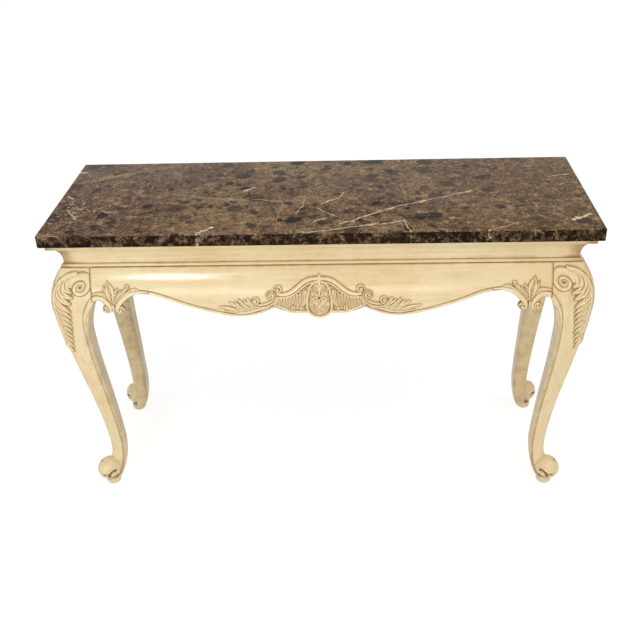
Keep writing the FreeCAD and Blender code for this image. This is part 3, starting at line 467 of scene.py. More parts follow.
def front_runs():
    """Lower edge of the front apron from its middle: centre, cusp, belly, arch, pendant and end arch."""
    centre = (FRONT_CENTRE_HALF, FRONT_CENTRE_DEPTH)
    cusp = (FRONT_CUSP_PLACE, FRONT_CUSP_DEPTH)
    belly = (FRONT_BELLY_PLACE, FRONT_BELLY_DEPTH)
    arch = (APRON_HALF - FRONT_ARCH_FROM_END, FRONT_ARCH_DEPTH)
    end_arch = (APRON_HALF - END_ARCH_FROM_END, END_ARCH_DEPTH)
    side = (PENDANT - PENDANT_HALF, PENDANT_DEPTH)
    fall = between(arch, side, (0.38, 0.09), (0.68, 0.32), (0.89, 0.61), (1, 0.88))
    shoulder, outer_shoulder = fall[-1], (PENDANT + PENDANT_HALF, fall[-1][1])
    notch, lobe = (PENDANT, PENDANT_DEPTH - 3), 0.6 * PENDANT_HALF
    return [
        [(0, FRONT_CENTRE_DEPTH), centre],
        [centre, *between(centre, cusp, (0.45, 0.3)), cusp],
        [cusp, *between(cusp, belly, (0.27, 0.45), (0.6, 0.85)),
         belly, *between(belly, arch, (0.18, 0.08), (0.54, 0.485), (0.83, 0.89)), arch, *fall],
        [shoulder, (PENDANT - lobe, PENDANT_DEPTH), notch],
        [notch, (PENDANT + lobe, PENDANT_DEPTH), outer_shoulder],
        [outer_shoulder, *between(outer_shoulder, end_arch, (0.24, 0.54), (0.56, 0.88)),
         end_arch, (APRON_HALF, APRON_END_DEPTH)],
    ]


def plain_runs(half):
    """Lower edge of a plain apron from its middle: a long belly that rises to an arch beside the leg."""
    belly, arch = (0, SIDE_BELLY_DEPTH), (half - SIDE_ARCH_FROM_END, END_ARCH_DEPTH)
    return [[belly, *between(belly, arch, (0.35, 0.1), (0.75, 0.72)), arch, (half, APRON_END_DEPTH)]]


def rail_shell(runs, spacing, halo=None):
    """Apron: rings along it, each down the swelling face, round the beaded lower edge and up the flat back.

    The bead and the groove above it follow the distance square to the lower edge, not the height.
    """
    right = [even_path(smooth_path(run), spacing) for run in runs]
    edge = np.vstack([right[0]] + [run[1:] for run in right[1:]])
    edge = np.vstack([edge[:0:-1] * (-1, 1), edge])
    place, low = edge.T
    slope = np.gradient(low, place)
    least_zone, least_face, rows = 15, 12, 26
    zone = soften((least_zone * np.sqrt(1 + slope ** 2))[None], 4)[0]
    zone = np.clip(zone, least_zone, low - least_face)
    upper = np.linspace(0, 1, rows, endpoint=False)[:, None]
    lower = np.linspace(0, 1, rows)[:, None]
    depth = np.concatenate([upper * (low - zone), (low - zone) + lower * zone])
    x = np.broadcast_to(place, depth.shape)
    gap = np.stack([nearest(edge, row_x, row_d)[0] for row_x, row_d in zip(x, depth)])
    q = np.clip((gap - APRON_BEAD / 2) / (APRON_BEAD / 2), -1, 1)
    groove = APRON_BEAD + 0.8
    proud = APRON_BEAD_PROUD * np.sqrt(1 - q ** 2) - ridge(gap, groove, 0.9)
    half = place.max()
    seam = smoothstep(half - 1.2, half, np.abs(x))
    # Glaze fills the groove over the bead; the thin brown line along the lower edge itself is painted shade under
    # the bead.
    glaze = 0.75 * ridge(gap, groove, 1.2) + 0.3 * ridge(gap, 0.2, 0.9)
    glaze = glaze + 0.9 * seam + 0.5 * smoothstep(2.0, 0, depth)
    if halo:
        glaze = glaze + halo(x, depth)
    face = joined(x, outer_inset(FRAME_TOP - depth) - proud + 1.2 * seam, FRAME_TOP - depth)
    start = face[-1, :, 1]
    bottom = FRAME_TOP - low
    below = joined(place, start + np.linspace(0.1, 1, 5)[:, None] * (APRON_BACK_INSET - start), bottom)
    behind = joined(place, APRON_BACK_INSET, bottom + np.linspace(0, 1, 5)[1:, None] * low)
    hidden = np.full((len(below) + len(behind), len(place)), 0.12)
    shade = np.concatenate([np.clip(glaze, -1, 1), hidden])
    return np.swapaxes(np.concatenate([face, below, behind]), 0, 1), shade.T


def rails(paint):
    """The four aprons, each turned to its own edge of the table."""
    front = rail_shell(front_runs(), 1.5, carving_halo)
    back = rail_shell(plain_runs(APRON_HALF), 4.0)
    side = rail_shell(plain_runs(SIDE_HALF), 2.0)
    for edge, (ring, glaze) in zip(EDGES, (front, back, side, side)):
        points = on_edge(edge, *np.moveaxis(ring, -1, 0))
        painted("apron_" + edge, "rail", [ring_shell(points, glaze)], paint)


# Cornice


def arc_points(centre, radii, start, end, count):
    """Points of an elliptical arc, by angle in degrees from the inset axis toward up."""
    angle = np.radians(np.linspace(start, end, count))
    return joined(centre[0] + radii[0] * np.cos(angle), centre[1] + radii[1] * np.sin(angle))


def cornice_section():
    """Inset and height round the moulding: eased band, elliptical cove, neck and half-round bead; with its glaze,
    which holds painted shade under the band and the bead and a painted highlight on the bead's top.
    """
    band_low = CORNICE_TOP - CORNICE_BAND
    cove, neck = CORNICE_INSET + CORNICE_BAND_STEP, CORNICE_NECK_INSET
    cove_low = band_low - CORNICE_COVE_DROP
    bead, bead_top = CORNICE_BEAD / 2, FRAME_TOP + CORNICE_BEAD
    ease = 1.8
    band = CORNICE_INSET + ease
    # Glaze along each run: painted shade where the band's lower edge turns under and at the top of the cove, and on
    # the bead a painted highlight on top and painted shade beneath; the step and the corner over the bead hold glaze
    # in their crevices.
    runs = [
        ([(CORNICE_BACK_INSET, FRAME_TOP), (CORNICE_BACK_INSET, CORNICE_TOP)], (0.1, 0.1)),
        (arc_points((band, CORNICE_TOP - ease), (ease, ease), 90, 180, 6), (0, 0)),
        (arc_points((band, band_low + ease), (ease, ease), 180, 270, 6), (0, 0.3)),
        ([(cove - 0.4, band_low + 0.2), (cove, band_low - 0.5)], (0.5, 0.5)),
        (arc_points((cove, cove_low), (neck - cove, CORNICE_COVE_DROP - 1.5), 88, 0, 26), (0.12, -0.1)),
        ([(neck, cove_low - 2), (neck, bead_top + 2.5)], (0, 0.2)),
        ([(neck, bead_top + 0.8), (neck - 0.6, bead_top)], (0.6, 0.5)),
        (arc_points((neck - CORNICE_BEAD_PROUD + bead, FRAME_TOP + bead), (bead, bead), 90, 270, 13), (-0.4, 0.35)),
    ]
    glaze = np.concatenate([np.linspace(*shades, len(run)) for run, shades in runs])
    return np.vstack([run for run, shades in runs]), glaze


def cornice(paint):
    """Four lengths of the moulding, each carried along its edge and cut at 45 degrees where it meets the next."""
    section, glaze = cornice_section()
    inset, z = section.T
    share = np.linspace(-1, 1, 25)[:, None]
    for edge, (half, _, _) in EDGES.items():
        mitre = smoothstep(1.5, 0, (1 - np.abs(share)) * half)
        rings = on_edge(edge, share * (half - inset), inset, z)
        shell = ring_shell(rings, np.clip(glaze + 0.6 * mitre, -1, 1))
        painted("cornice_" + edge, "moulding", [shell], paint, 35)


# Legs


def volute(w, z):
    """Knee volute: a raised rim winds in from the leg's corner and slopes down to the next turn.

    The radius falls by a fixed share per turn, less after the first half turn.
    The turn count at a point is how far its radius lies in along the spiral, less its own angle, in whole turns.
    """
    toward, up = VOLUTE_IN - w, z - VOLUTE_HEIGHT
    radius = np.maximum(np.hypot(toward, up), 0.3)
    angle = np.arctan2(up, toward) % (2 * math.pi)
    fall = np.log(VOLUTE_SIZE / radius)
    quick, slow = 0.18, 0.125
    first = quick * math.pi
    turned = np.where(fall < first, fall / quick, math.pi + (fall - first) / slow)
    count = (turned - angle) / (2 * math.pi)
    share = count - np.floor(count)
    rim = smoothstep(-0.04, 0.2, share) * smoothstep(1.0, 0.2, share)
    band = 0.4 + 3.3 * rim - 0.8 * ridge(share, 0.42, 0.06)
    height = np.where(count > 0, band * smoothstep(0, 0.08, count), 0)
    outside = np.where(count < 0, -count * 1.1 * radius, 99)
    height = height - 0.7 * ridge(outside, 0, 2.6)
    eye = 1.6 - 2.6 * (1 - (np.minimum(radius, VOLUTE_EYE) / VOLUTE_EYE) ** 2)
    return np.where(radius < VOLUTE_EYE, eye, height)


def knee_leaf(w, z):
    """Knee leaf: a border beside the leg's corner, and fingers that leave it and hook inward.

    Three upper fingers wrap round the volute; the lower ones are one shape stepped down the leg and narrowed.
    """
    spine = [(46, 706), (28, 702), (16.5, 693), (10, 681), (7, 666), (5.5, 648), (5.5, 620), (5, 590), (5.5, 560),
             (6.5, 530), (8, 503), (10, 482)]
    border = [(x, y, 4.4 - 0.008 * (706 - y), 3.4) for x, y in spine]
    fingers = [
        [(43, 704, 2.6, 3), (31, 693, 5.4, 5), (30, 679, 6.6, 6), (37, 668, 5.6, 5.8), (48, 661, 2.4, 4.4)],
        [(28, 697, 2.6, 3), (20, 682, 6, 5.2), (23, 665, 7.4, 6.4), (35, 653, 6, 6.2), (51, 646, 2.6, 4.8)],
        [(17, 685, 2.6, 3), (15.5, 664, 6, 5.2), (23, 647, 7.4, 6.4), (34, 636, 6, 6), (45, 629, 2.6, 4.8)],
    ]
    for k in range(9):
        tip_w, tip_z = 39 - 2.5 * k - 0.12 * k * k, 612 - 15.6 * k
        size = 1 - 0.045 * k
        fingers.append([
            (8, tip_z + 50, 2.2 * size, 3), (10, tip_z + 31, 4.8 * size, 4.6),
            (0.5 * tip_w + 2, tip_z + 14, 5.4 * size, 5.4), (0.82 * tip_w + 1, tip_z + 2, 4.6 * size, 5.2),
            (tip_w + 2, tip_z - 9, 2.0 * size, 3.8),
        ])
    return highest(w, z, [], rounded=[border], channelled=fingers)


def edge_lines(w, z, leg_width, leg_z):
    """Distances to two cut lines beside the leg's inner edge, which close in on it from the apron to the foot."""
    low_z = np.array([500.0, 430, 350, 260, 180, 110, 60, 20])
    drawn = np.interp(-low_z, -leg_z, leg_width)
    edge = np.where(low_z < ANKLE_HEIGHT, drawn, inner_inset(low_z) - outer_inset(low_z))
    first = [(106, 652), (94, 638), (83, 619), (73, 598), (66.5, 576), (61.5, 551), (58.5, 524)]
    second = [(97, 615), (89, 604), (79, 588), (72.5, 570), (67.5, 550), (63.5, 528)]
    first += list(zip(edge - np.linspace(8.5, 6.5, len(edge)), low_z))
    second += list(zip(edge - np.linspace(3.8, 3.0, len(edge)), low_z))
    return [nearest(smooth_path(line, 6), w, z)[0] for line in (first, second)]


def foot_blend(across, deep, z):
    """Swelling of the leg's face toward the foot: a parabola of the distance to a ball of the foot's size."""
    reach = 30.0
    along = (across - deep) / math.sqrt(2)
    ahead = (across + deep - 2 * SCROLL_INSET) / math.sqrt(2)
    round_part = (ahead ** 2 + (z - SCROLL_CENTRE_HEIGHT) ** 2) / SCROLL_RADIUS ** 2
    ball = np.sqrt(round_part + (2 * along / SCROLL_WIDTH) ** 2)
    away = np.clip(SCROLL_RADIUS * (ball - 1) / reach, -0.1, 1)
    return reach / 4 * (1 - away) ** 2


def leg_relief(w, z, width):
    """Carved height and glaze of a leg's outer face, by the distance from its corner and the height."""
    upper = z[:, 0] > KNEE_CARVING_END
    all_z = np.broadcast_to(z, w.shape)
    leaf, scroll = knee_leaf(w[upper], all_z[upper]), volute(w[upper], all_z[upper])
    sunk = np.minimum(scroll, 0) - 0.8 * np.exp(np.minimum(leaf, 0) / 2.2)
    knee = np.where(leaf > 0, np.maximum(leaf, scroll), np.where(scroll > 0.3, scroll, sunk))
    height, glaze = np.zeros(w.shape), np.zeros(w.shape)
    height[upper] = knee
    glaze[upper] = 0.32 * recess(knee, 8, 30) + 0.36 * recess(knee, 20, 80)
    first, second = edge_lines(w, all_z, width[:, 0], z[:, 0])
    height -= 1.4 * ridge(first, 0, 1.6) + 1.1 * ridge(second, 0, 1.4)
    seam = smoothstep(3.0, 0.6, width - ARRIS_EASE - w) * (z > FRAME_TOP - APRON_END_DEPTH)
    glaze += 0.6 * ridge(first, 0, 1.8) + 0.5 * ridge(second, 0, 1.6)
    glaze += 1.1 * seam + 0.5 * smoothstep(2.0, 0, FRAME_TOP - z)
    return height, glaze


def leg_rings():
    """Rings down the leg: front face, round nose, side face, back and inner face; the outer two are carved."""
    heel_turn, knee_step, shin_step = 78, 1.15, 3.6
    turn = np.radians(np.linspace(0, heel_turn, 27))[1:]
    knee_z = np.arange(FRAME_TOP, KNEE_CARVING_END + 2, -knee_step)
    z = np.r_[knee_z, np.arange(KNEE_CARVING_END, ANKLE_HEIGHT + 1, -shin_step), ANKLE_HEIGHT]
    heel_z = ANKLE_HEIGHT - (ANKLE_HEIGHT - HEEL_BOTTOM) * np.sin(turn)
    heel = ANKLE_INSET + ANKLE_SIZE - HEEL_DRAW * (1 - np.cos(turn))
    outer = np.r_[outer_inset(z), np.full(len(turn), ANKLE_INSET)][:, None]
    inner = np.r_[inner_inset(z), heel][:, None]
    z = np.r_[z, heel_z][:, None]
    width = inner - outer

    face = width - ARRIS_EASE - NOSE_RADIUS
    border = np.minimum(10.5, 0.45 * face)
    edge_w = NOSE_RADIUS + face - border * np.linspace(0, 1, 24, endpoint=False)
    w = np.hstack([edge_w, NOSE_RADIUS + (face - border) * np.linspace(1, 0, 64)])
    nose = np.radians(np.linspace(0, 90, 11)[1:-1])
    nose_w = NOSE_RADIUS * (1 - np.minimum(np.sin(nose), np.cos(nose))) + 0 * z
    height, glaze = leg_relief(w, z, width)
    nose_height, nose_glaze = leg_relief(nose_w, z, width)
    height = height + foot_blend(outer + w, outer, z)
    bulge = NOSE_RADIUS + nose_height + foot_blend(outer + nose_w, outer + nose_w, z)

    a = ARRIS_EASE
    quarter = np.radians([22.5, 45, 67.5])
    inner_quarter = np.radians(np.linspace(0, 90, 10)[1:-1])
    rise = np.clip((z - CALF_HEIGHT) / (POST_BOTTOM - CALF_HEIGHT), 0, 1)
    shin_round = np.maximum(INNER_ROUND * width / CALF_SIZE, a)
    r = np.where(z > CALF_HEIGHT, INNER_ROUND + (a - INNER_ROUND) * rise, shin_round)
    front = (outer + w, outer - height)
    run = outer + a + (width - a - r) * np.linspace(0, 1, 12)
    blocks = [
        front,
        (outer + NOSE_RADIUS - bulge * np.sin(nose), outer + NOSE_RADIUS - bulge * np.cos(nose)),
        (front[1][:, ::-1], front[0][:, ::-1]),
        (outer + a - a * np.cos(quarter), inner - a + a * np.sin(quarter)),
        (run, inner),
        (inner - r + r * np.sin(inner_quarter), inner - r + r * np.cos(inner_quarter)),
        (inner, run[:, ::-1]),
        (inner - a + a * np.cos(quarter), outer + a - a * np.sin(quarter)),
    ]
    rings = np.concatenate([joined(across, deep, z) for across, deep in blocks], 1)
    # Painted shade: the back and inner faces get an even brown glaze, heaviest on the inner faces and their rounded
    # corner.
    plain = zip(blocks[3:], (0.15, 0.25, 0.3, 0.3, 0.15))
    shades = [glaze, nose_glaze, glaze[:, ::-1]]
    shades += [np.full(np.broadcast(*block).shape, tone) for block, tone in plain]
    return rings, np.clip(np.hstack(shades), -1, 1)


def foot_scroll():
    """Scroll foot: a round toe turned about the corner's diagonal, with a hooked cut over a boss on each end.

    The place along the axis goes by the sine of an angle t, and the radius by a power of its cosine.
    """
    power = 0.66
    end_radius = np.linspace(0.8, SCROLL_RADIUS - 3, 44)
    end = np.arccos((end_radius / SCROLL_RADIUS) ** (1 / power))
    t = np.r_[-end, np.linspace(-end[-1], end[-1], 26)[1:-1], end[::-1]][:, None]
    side = (SCROLL_WIDTH / 2 - 1) * np.sin(t)
    radius = SCROLL_RADIUS * np.cos(t) ** power
    angle = np.radians(np.linspace(-180, 180, 150, endpoint=False))
    ahead, up = radius * np.sin(angle), radius * np.cos(angle)

    boss_ahead, boss_down, boss_radius = 7, 10.5, 7.0
    off_ahead, off_up = ahead - boss_ahead, up + boss_down
    reach, turn = np.hypot(off_ahead, off_up), np.arctan2(off_ahead, off_up)
    hook = 9.0 + 6.0 * smoothstep(0.4, -1.0, turn)
    on_end = smoothstep(6, 13, np.abs(side))
    swept = smoothstep(-1.5, -0.8, turn) * smoothstep(2.6, 2.0, turn) * on_end
    groove = ridge(reach, hook, 3.8) * swept
    lip = ridge(reach, hook + 6.4, 2.8) * swept
    boss = np.sqrt(np.clip(1 - (reach / boss_radius) ** 2, 0, 1)) * on_end
    worn = ridge(np.hypot((side + 8) / 4, (angle - 0.5) * 9), 0, 1)
    worn = worn + ridge(np.hypot((np.abs(side) - 18) / 6, (angle - 1.75) * 6), 0, 1)
    side = side + np.sign(side) * (2.4 * boss + 1.8 * lip - 5.4 * groove)

    diagonal = math.sqrt(0.5)
    x = SCROLL_INSET + diagonal * (side - ahead)
    y = SCROLL_INSET + diagonal * (-side - ahead)
    # Painted shade: glaze darkens the valley where the ball meets the leg, and the underside of the ball.
    valley_shade = ridge(y, ANKLE_INSET, 8) * smoothstep(56, 70, x) + ridge(x, ANKLE_INSET, 8) * smoothstep(56, 70, y)
    valley_shade = valley_shade * smoothstep(12, -8, up)
    glaze = 2.0 * groove + 0.9 * worn + 0.9 * valley_shade - 0.3 * boss - 0.3 * lip + 0.5 * smoothstep(-8, -32, up)
    return joined(x, y, SCROLL_CENTRE_HEIGHT + up), np.clip(glaze, -1, 1)


def foot_pad():
    """Foot pad: a turned disc that swells in the middle and tucks in under the scroll."""
    tuck = 3
    share = np.linspace(0, 1, 14)[:, None]
    radius = FOOT_PAD_DIAMETER / 2 - tuck + tuck * np.sin(np.pi * np.clip(share * 1.1, 0, 1)) ** 0.7
    angle = np.radians(np.linspace(0, 360, 64, endpoint=False))
    x = FOOT_PAD_INSET + radius * np.cos(angle)
    y = FOOT_PAD_INSET + radius * np.sin(angle)
    glaze = 0.45 * smoothstep(0.6, 1, share) + 0.3 * smoothstep(0.15, 0, share)
    return joined(x, y, GLIDE_THICKNESS + (FOOT_PAD_TOP - GLIDE_THICKNESS) * share), np.broadcast_to(glaze, x.shape)


def legs(paint):
    """Four legs: the front left one mirrored to the other corners."""
    parts = [leg_rings(), foot_scroll(), foot_pad()]
    for corner, (side, end) in CORNERS.items():
        shells = []
        for rings, glaze in parts:
            x, y, z = np.moveaxis(rings, -1, 0)
            shells.append(ring_shell(joined(side * (HALF_LENGTH - x), end * (HALF_DEPTH - y), z), glaze))
        painted("leg_" + corner, "cabriole", shells, paint, 60)


# Stone top


def stone_top(stone):
    """Slab: rings of a rounded rectangle, eased at the top and bottom edge, closed by flat faces."""
    bend = np.radians(np.linspace(0, 90, 7))
    draw, lift = TOP_EDGE_EASE * (1 - np.sin(bend)), TOP_EDGE_EASE * (1 - np.cos(bend))
    around = np.radians(np.linspace(0, 90, 9))
    steps = np.linspace(0, 1, 30, endpoint=False)[1:, None]
    rings = []
    for inset, z in zip(np.r_[draw, draw[::-1]], np.r_[STONE_UNDERSIDE + lift, TOP_HEIGHT - lift[::-1]]):
        r = STONE_CORNER - inset * 0.5
        arcs = []
        for k, (side, end) in enumerate(((1, 1), (-1, 1), (-1, -1), (1, -1))):
            angle = around + k * math.pi / 2
            x = side * (HALF_LENGTH - inset - r) + r * np.cos(angle)
            arcs.append(joined(x, end * (HALF_DEPTH - inset - r) + r * np.sin(angle), z))
        ring = []
        for arc, following in zip(arcs, arcs[1:] + arcs[:1]):
            ring += [arc, arc[-1] + steps * (following[0] - arc[-1])]
        rings.append(np.vstack(ring))
    rings = np.array(rings)
    shell = ring_shell(rings, np.zeros(rings.shape[:2]))
    make_piece("stone_slab", [shell], stone, "top", ["marble_top"], 40)


# Finishes


def give(tree, socket, value):
    """Set an input to a value or to another node's output."""
    if isinstance(value, bpy.types.NodeSocket):
        tree.links.new(value, socket)
    else:
        socket.default_value = value


def put(tree, kind, **given):
    """One shader node: lower-case names are settings, the rest inputs by name or by number after an underscore."""
    node = tree.nodes.new("ShaderNode" + kind)
    for key, value in given.items():
        if key[0].islower():
            setattr(node, key, value)
        else:
            give(tree, node.inputs[int(key[1:]) if key[1:].isdigit() else key], value)
    return node


def maths(tree, operation, first, second=0, third=0):
    """Result of a Math node."""
    return put(tree, "Math", operation=operation, _0=first, _1=second, _2=third).outputs[0]


def vectors(tree, operation, first, second, third=(0, 0, 0)):
    """Result of a Vector Math node: a number for a distance or a dot product, otherwise a vector."""
    node = put(tree, "VectorMath", operation=operation, _0=first, _1=second, _2=third)
    return node.outputs["Value" if operation in ("DISTANCE", "DOT_PRODUCT") else "Vector"]


def remap(tree, value, low, high, to_low=0, to_high=1):
    """Value moved from one range to another, smooth and clamped."""
    ranges = {"_1": low, "_2": high, "_3": to_low, "_4": to_high}
    return put(tree, "MapRange", interpolation_type="SMOOTHSTEP", _0=value, **ranges).outputs[0]


def blend(tree, share, first, second, strength=1):
    """Colour between two colours, by a share times a strength."""
    share = maths(tree, "MULTIPLY", share, strength)
    return put(tree, "Mix", data_type="RGBA", _0=share, _6=first, _7=second).outputs[2]


def layered(tree, colour, *layers):
    """Colour with tints laid over it in turn, each where its field passes a range and up to its strength."""
    for field, low, high, strength, tint in layers:
        colour = blend(tree, remap(tree, field, low, high), colour, tint, strength)
    return colour


def noise(tree, place, scale, detail=3, rough=0.5, warp=0, out="Fac"):
    """Noise texture on the given coordinates."""
    node = put(tree, "TexNoise", Vector=place, Scale=scale, Detail=detail, Roughness=rough, Distortion=warp)
    return node.outputs[out]


def shifted(tree, place, reach, source, scale, detail, rough):
    """Coordinates moved by coloured noise times a reach."""
    return vectors(tree, "MULTIPLY_ADD", noise(tree, source, scale, detail, rough, out="Color"), reach, place)


def split(tree, colour):
    """Three numbers of a colour."""
    return put(tree, "SeparateColor", Color=colour).outputs


def object_place(tree):
    """Object coordinates, in metres."""
    return put(tree, "TexCoord").outputs["Object"]


def rgb(red, green, blue):
    """Screen colour, 0 to 255, as a linear colour."""
    value = np.array([red, green, blue]) / 255
    linear = np.where(value <= 0.04045, value / 12.92, ((value + 0.055) / 1.055) ** 2.4)
    return (*linear.tolist(), 1)


COLOURS = ("Paint", "Warm", "Glaze", "Early", "Late", "Color")
VECTORS = ("Brush", "Grain", "Place", "Start", "Run", "Along")


def new_group(name, inputs, outputs="Color Roughness Height"):
    """Empty node group with named sockets: its tree, what is given to it and the inputs of its result."""
    tree = bpy.data.node_groups.new(name, "ShaderNodeTree")
    for way, sockets in (("INPUT", inputs), ("OUTPUT", outputs)):
        for socket in sockets.split():
            kind = "Color" if socket in COLOURS else "Vector" if socket in VECTORS else "Float"
            tree.interface.new_socket(socket, in_out=way, socket_type="NodeSocket" + kind)
    return tree, tree.nodes.new("NodeGroupInput").outputs, tree.nodes.new("NodeGroupOutput").inputs


def use_group(tree, group, **inputs):
    """Outputs of a group placed in a material."""
    return put(tree, "Group", node_tree=group, **inputs).outputs


def cleared(owner):
    """Empty node tree of a material or a world."""
    owner.use_nodes = True
    owner.node_tree.nodes.clear()
    return owner.node_tree


def new_material(name):
    """Material with only its output and a Principled shader, and the shader's inputs."""
    material = bpy.data.materials.new(name)
    tree = cleared(material)
    shader = put(tree, "BsdfPrincipled")
    put(tree, "OutputMaterial", Surface=shader.outputs[0])
    return material, tree, shader.inputs


def coat(tree, shader, colour, rough, height, strength, distance):
    """Give a shader its colour, roughness and fine bump."""
    bump = put(tree, "Bump", Strength=strength, Distance=distance, Height=height)
    for name, value in (("Base Color", colour), ("Roughness", rough), ("Normal", bump.outputs[0])):
        give(tree, shader[name], value)


def rubbed_paint_group():
    """Rubbed paint: cream with soft tints and streaks, brown glaze in hollows, crests painted paler as rubbed wear
    with a painted highlight, and a few specks.
    """
    tree, given, result = new_group("rubbed_paint", "Paint Warm Glaze Brush")
    glaze, rubbed_highlight_cream, deep_glaze = given["Glaze"], rgb(248, 234, 200), rgb(112, 76, 42)
    place = object_place(tree)
    brushed = vectors(tree, "MULTIPLY", place, given["Brush"])
    hollow = put(tree, "Attribute", attribute_name="glaze").outputs["Fac"]
    broad = noise(tree, place, 5, 2)
    mottle = noise(tree, place, 38, 4, 0.6)
    streak = noise(tree, brushed, 1, 5, 0.6)
    grain = noise(tree, brushed, 5, 4, 0.65)
    thin = maths(tree, "MULTIPLY_ADD", mottle, 0.6, streak)
    rubbed = maths(tree, "MULTIPLY_ADD", maths(tree, "SUBTRACT", mottle, 0.5), 0.45, hollow)
    colour = blend(tree, remap(tree, broad, 0.35, 0.68), given["Paint"], given["Warm"])
    colour = layered(
        tree, colour, (thin, 0.72, 1.08, 0.20, glaze), (hollow, -0.15, -0.8, 0.40, rubbed_highlight_cream),
        (rubbed, 0.05, 0.7, 0.88, glaze), (rubbed, 0.65, 1.15, 0.55, deep_glaze),
        (noise(tree, place, 210, 1), 0.735, 0.77, 0.45, glaze),
    )
    give(tree, result["Color"], colour)
    worn = maths(tree, "MULTIPLY_ADD", grain, 0.5, hollow)
    give(tree, result["Roughness"], remap(tree, worn, 0, 1.2, 0.11, 0.55))
    height = maths(tree, "MULTIPLY_ADD", grain, 0.6, maths(tree, "MULTIPLY", mottle, 0.4))
    give(tree, result["Height"], height)
    return tree


def wood_group():
    """Bare wood: growth rings stretched along the board, with pores."""
    tree, given, result = new_group("bare_wood", "Early Late Grain")
    place = vectors(tree, "MULTIPLY", object_place(tree), given["Grain"])
    figure = noise(tree, place, 1, 5, 0.6, 1.2)
    pores = noise(tree, place, 9, 3, 0.7)
    colour = blend(tree, remap(tree, figure, 0.35, 0.65), given["Early"], given["Late"])
    give(tree, result["Color"], layered(tree, colour, (pores, 0.58, 0.75, 0.5, rgb(92, 64, 40))))
    give(tree, result["Roughness"], remap(tree, pores, 0.3, 0.8, 0.6, 0.85))
    give(tree, result["Height"], maths(tree, "ADD", figure, pores))
    return tree


def group_finish(name, group, strength, distance, **inputs):
    """Material made of one group, with the strength and distance of its bump."""
    material, tree, shader = new_material(name)
    made = use_group(tree, group, **inputs)
    coat(tree, shader, made["Color"], made["Roughness"], made["Height"], strength, distance)
    return material


def vein_group():
    """One placed vein: white within an uneven width of a straight run over the slab, whatever the height."""
    tree, given, result = new_group("placed_vein", "Place Start Run Along Width", "Mask")
    offset = vectors(tree, "SUBTRACT", given["Place"], given["Start"])
    share = vectors(tree, "DOT_PRODUCT", offset, given["Along"])
    share = maths(tree, "MINIMUM", maths(tree, "MAXIMUM", share, 0), 1)
    away = vectors(tree, "DISTANCE", offset, vectors(tree, "MULTIPLY", given["Run"], share))
    thick = remap(tree, noise(tree, given["Place"], 70, 3, 0.6), 0.3, 0.7, 0.3, 1.5)
    away = maths(tree, "DIVIDE", away, maths(tree, "MULTIPLY", given["Width"], thick))
    give(tree, result["Mask"], remap(tree, away, 0.5, 1, 1, 0))
    return tree


def fine_vein_group():
    """Fine veins: where noise passes its middle value, kept only in patches."""
    tree, given, result = new_group("fine_veins", "Place Scale Width Cover", "Mask")
    field = noise(tree, given["Place"], given["Scale"], 5, 0.55, 0.6)
    away = maths(tree, "ABSOLUTE", maths(tree, "SUBTRACT", field, 0.5))
    line = remap(tree, maths(tree, "DIVIDE", away, given["Width"]), 0.3, 1, 1, 0)
    patches = noise(tree, given["Place"], maths(tree, "MULTIPLY", given["Scale"], 0.9), 3, 0.6, out="Color")
    kept = remap(tree, split(tree, patches)[1], given["Cover"], maths(tree, "ADD", given["Cover"], 0.08))
    give(tree, result["Mask"], maths(tree, "MULTIPLY", line, kept))
    return tree


# Bold veins: start and end on the slab in metres, width, tint and strength
PALE, TAN = rgb(236, 218, 188), rgb(182, 150, 104)
BOLD_VEINS = [
    (-0.294, -0.260, -0.290, -0.232, 0.0062, PALE, 1), (-0.290, -0.232, -0.253, -0.199, 0.0046, PALE, 1),
    (0.009, -0.231, 0.198, -0.179, 0.0032, PALE, 0.85), (0.057, -0.192, 0.187, -0.094, 0.0034, PALE, 0.85),
    (0.187, -0.094, 0.399, 0.008, 0.0030, PALE, 0.8), (0.622, -0.182, 0.667, -0.154, 0.0060, PALE, 0.95),
    (0.386, -0.260, 0.486, -0.195, 0.0022, PALE, 0.65), (0.004, -0.075, 0.055, -0.019, 0.0030, PALE, 0.75),
    (0.055, -0.019, 0.062, 0.008, 0.0026, PALE, 0.7), (-0.666, 0.093, -0.592, 0.134, 0.0042, TAN, 0.6),
    (-0.600, 0.128, -0.540, 0.158, 0.0150, TAN, 0.55), (-0.592, 0.134, -0.379, 0.240, 0.0040, TAN, 0.7),
    (-0.430, 0.021, -0.274, -0.026, 0.0020, PALE, 0.5), (-0.274, -0.026, -0.100, -0.045, 0.0022, PALE, 0.6),
    (-0.503, 0.058, -0.468, -0.175, 0.0018, TAN, 0.3), (0.607, 0.097, 0.662, 0.109, 0.0034, PALE, 0.7),
    (0.321, -0.166, 0.360, -0.167, 0.0030, PALE, 0.75), (0.224, -0.260, 0.213, -0.174, 0.0026, PALE, 0.75),
    (-0.012, -0.178, 0.022, -0.156, 0.0032, PALE, 0.75), (0.644, -0.092, 0.690, -0.060, 0.0022, TAN, 0.8),
    (-0.668, 0.004, -0.655, -0.010, 0.0060, PALE, 0.7), (-0.640, -0.090, -0.612, -0.150, 0.0030, PALE, 0.6),
    (-0.684, 0.176, -0.664, 0.180, 0.0080, PALE, 0.8), (-0.202, 0.027, -0.178, 0.046, 0.0042, PALE, 0.9),
    (-0.036, -0.020, -0.050, -0.123, 0.0026, PALE, 0.5), (-0.097, -0.057, -0.103, -0.226, 0.0024, TAN, 0.6),
    (-0.007, -0.095, 0.048, -0.151, 0.0026, PALE, 0.6), (0.213, 0.055, 0.224, -0.057, 0.0026, TAN, 0.6),
    (-0.045, -0.236, 0.009, -0.231, 0.0034, PALE, 0.8),
]
# How far the bold veins wander, and the patch of pale chips at the left end
VEIN_WANDER, CHIPS_SPOT = 0.036, (-0.61, -0.11, TOP_HEIGHT * MM)


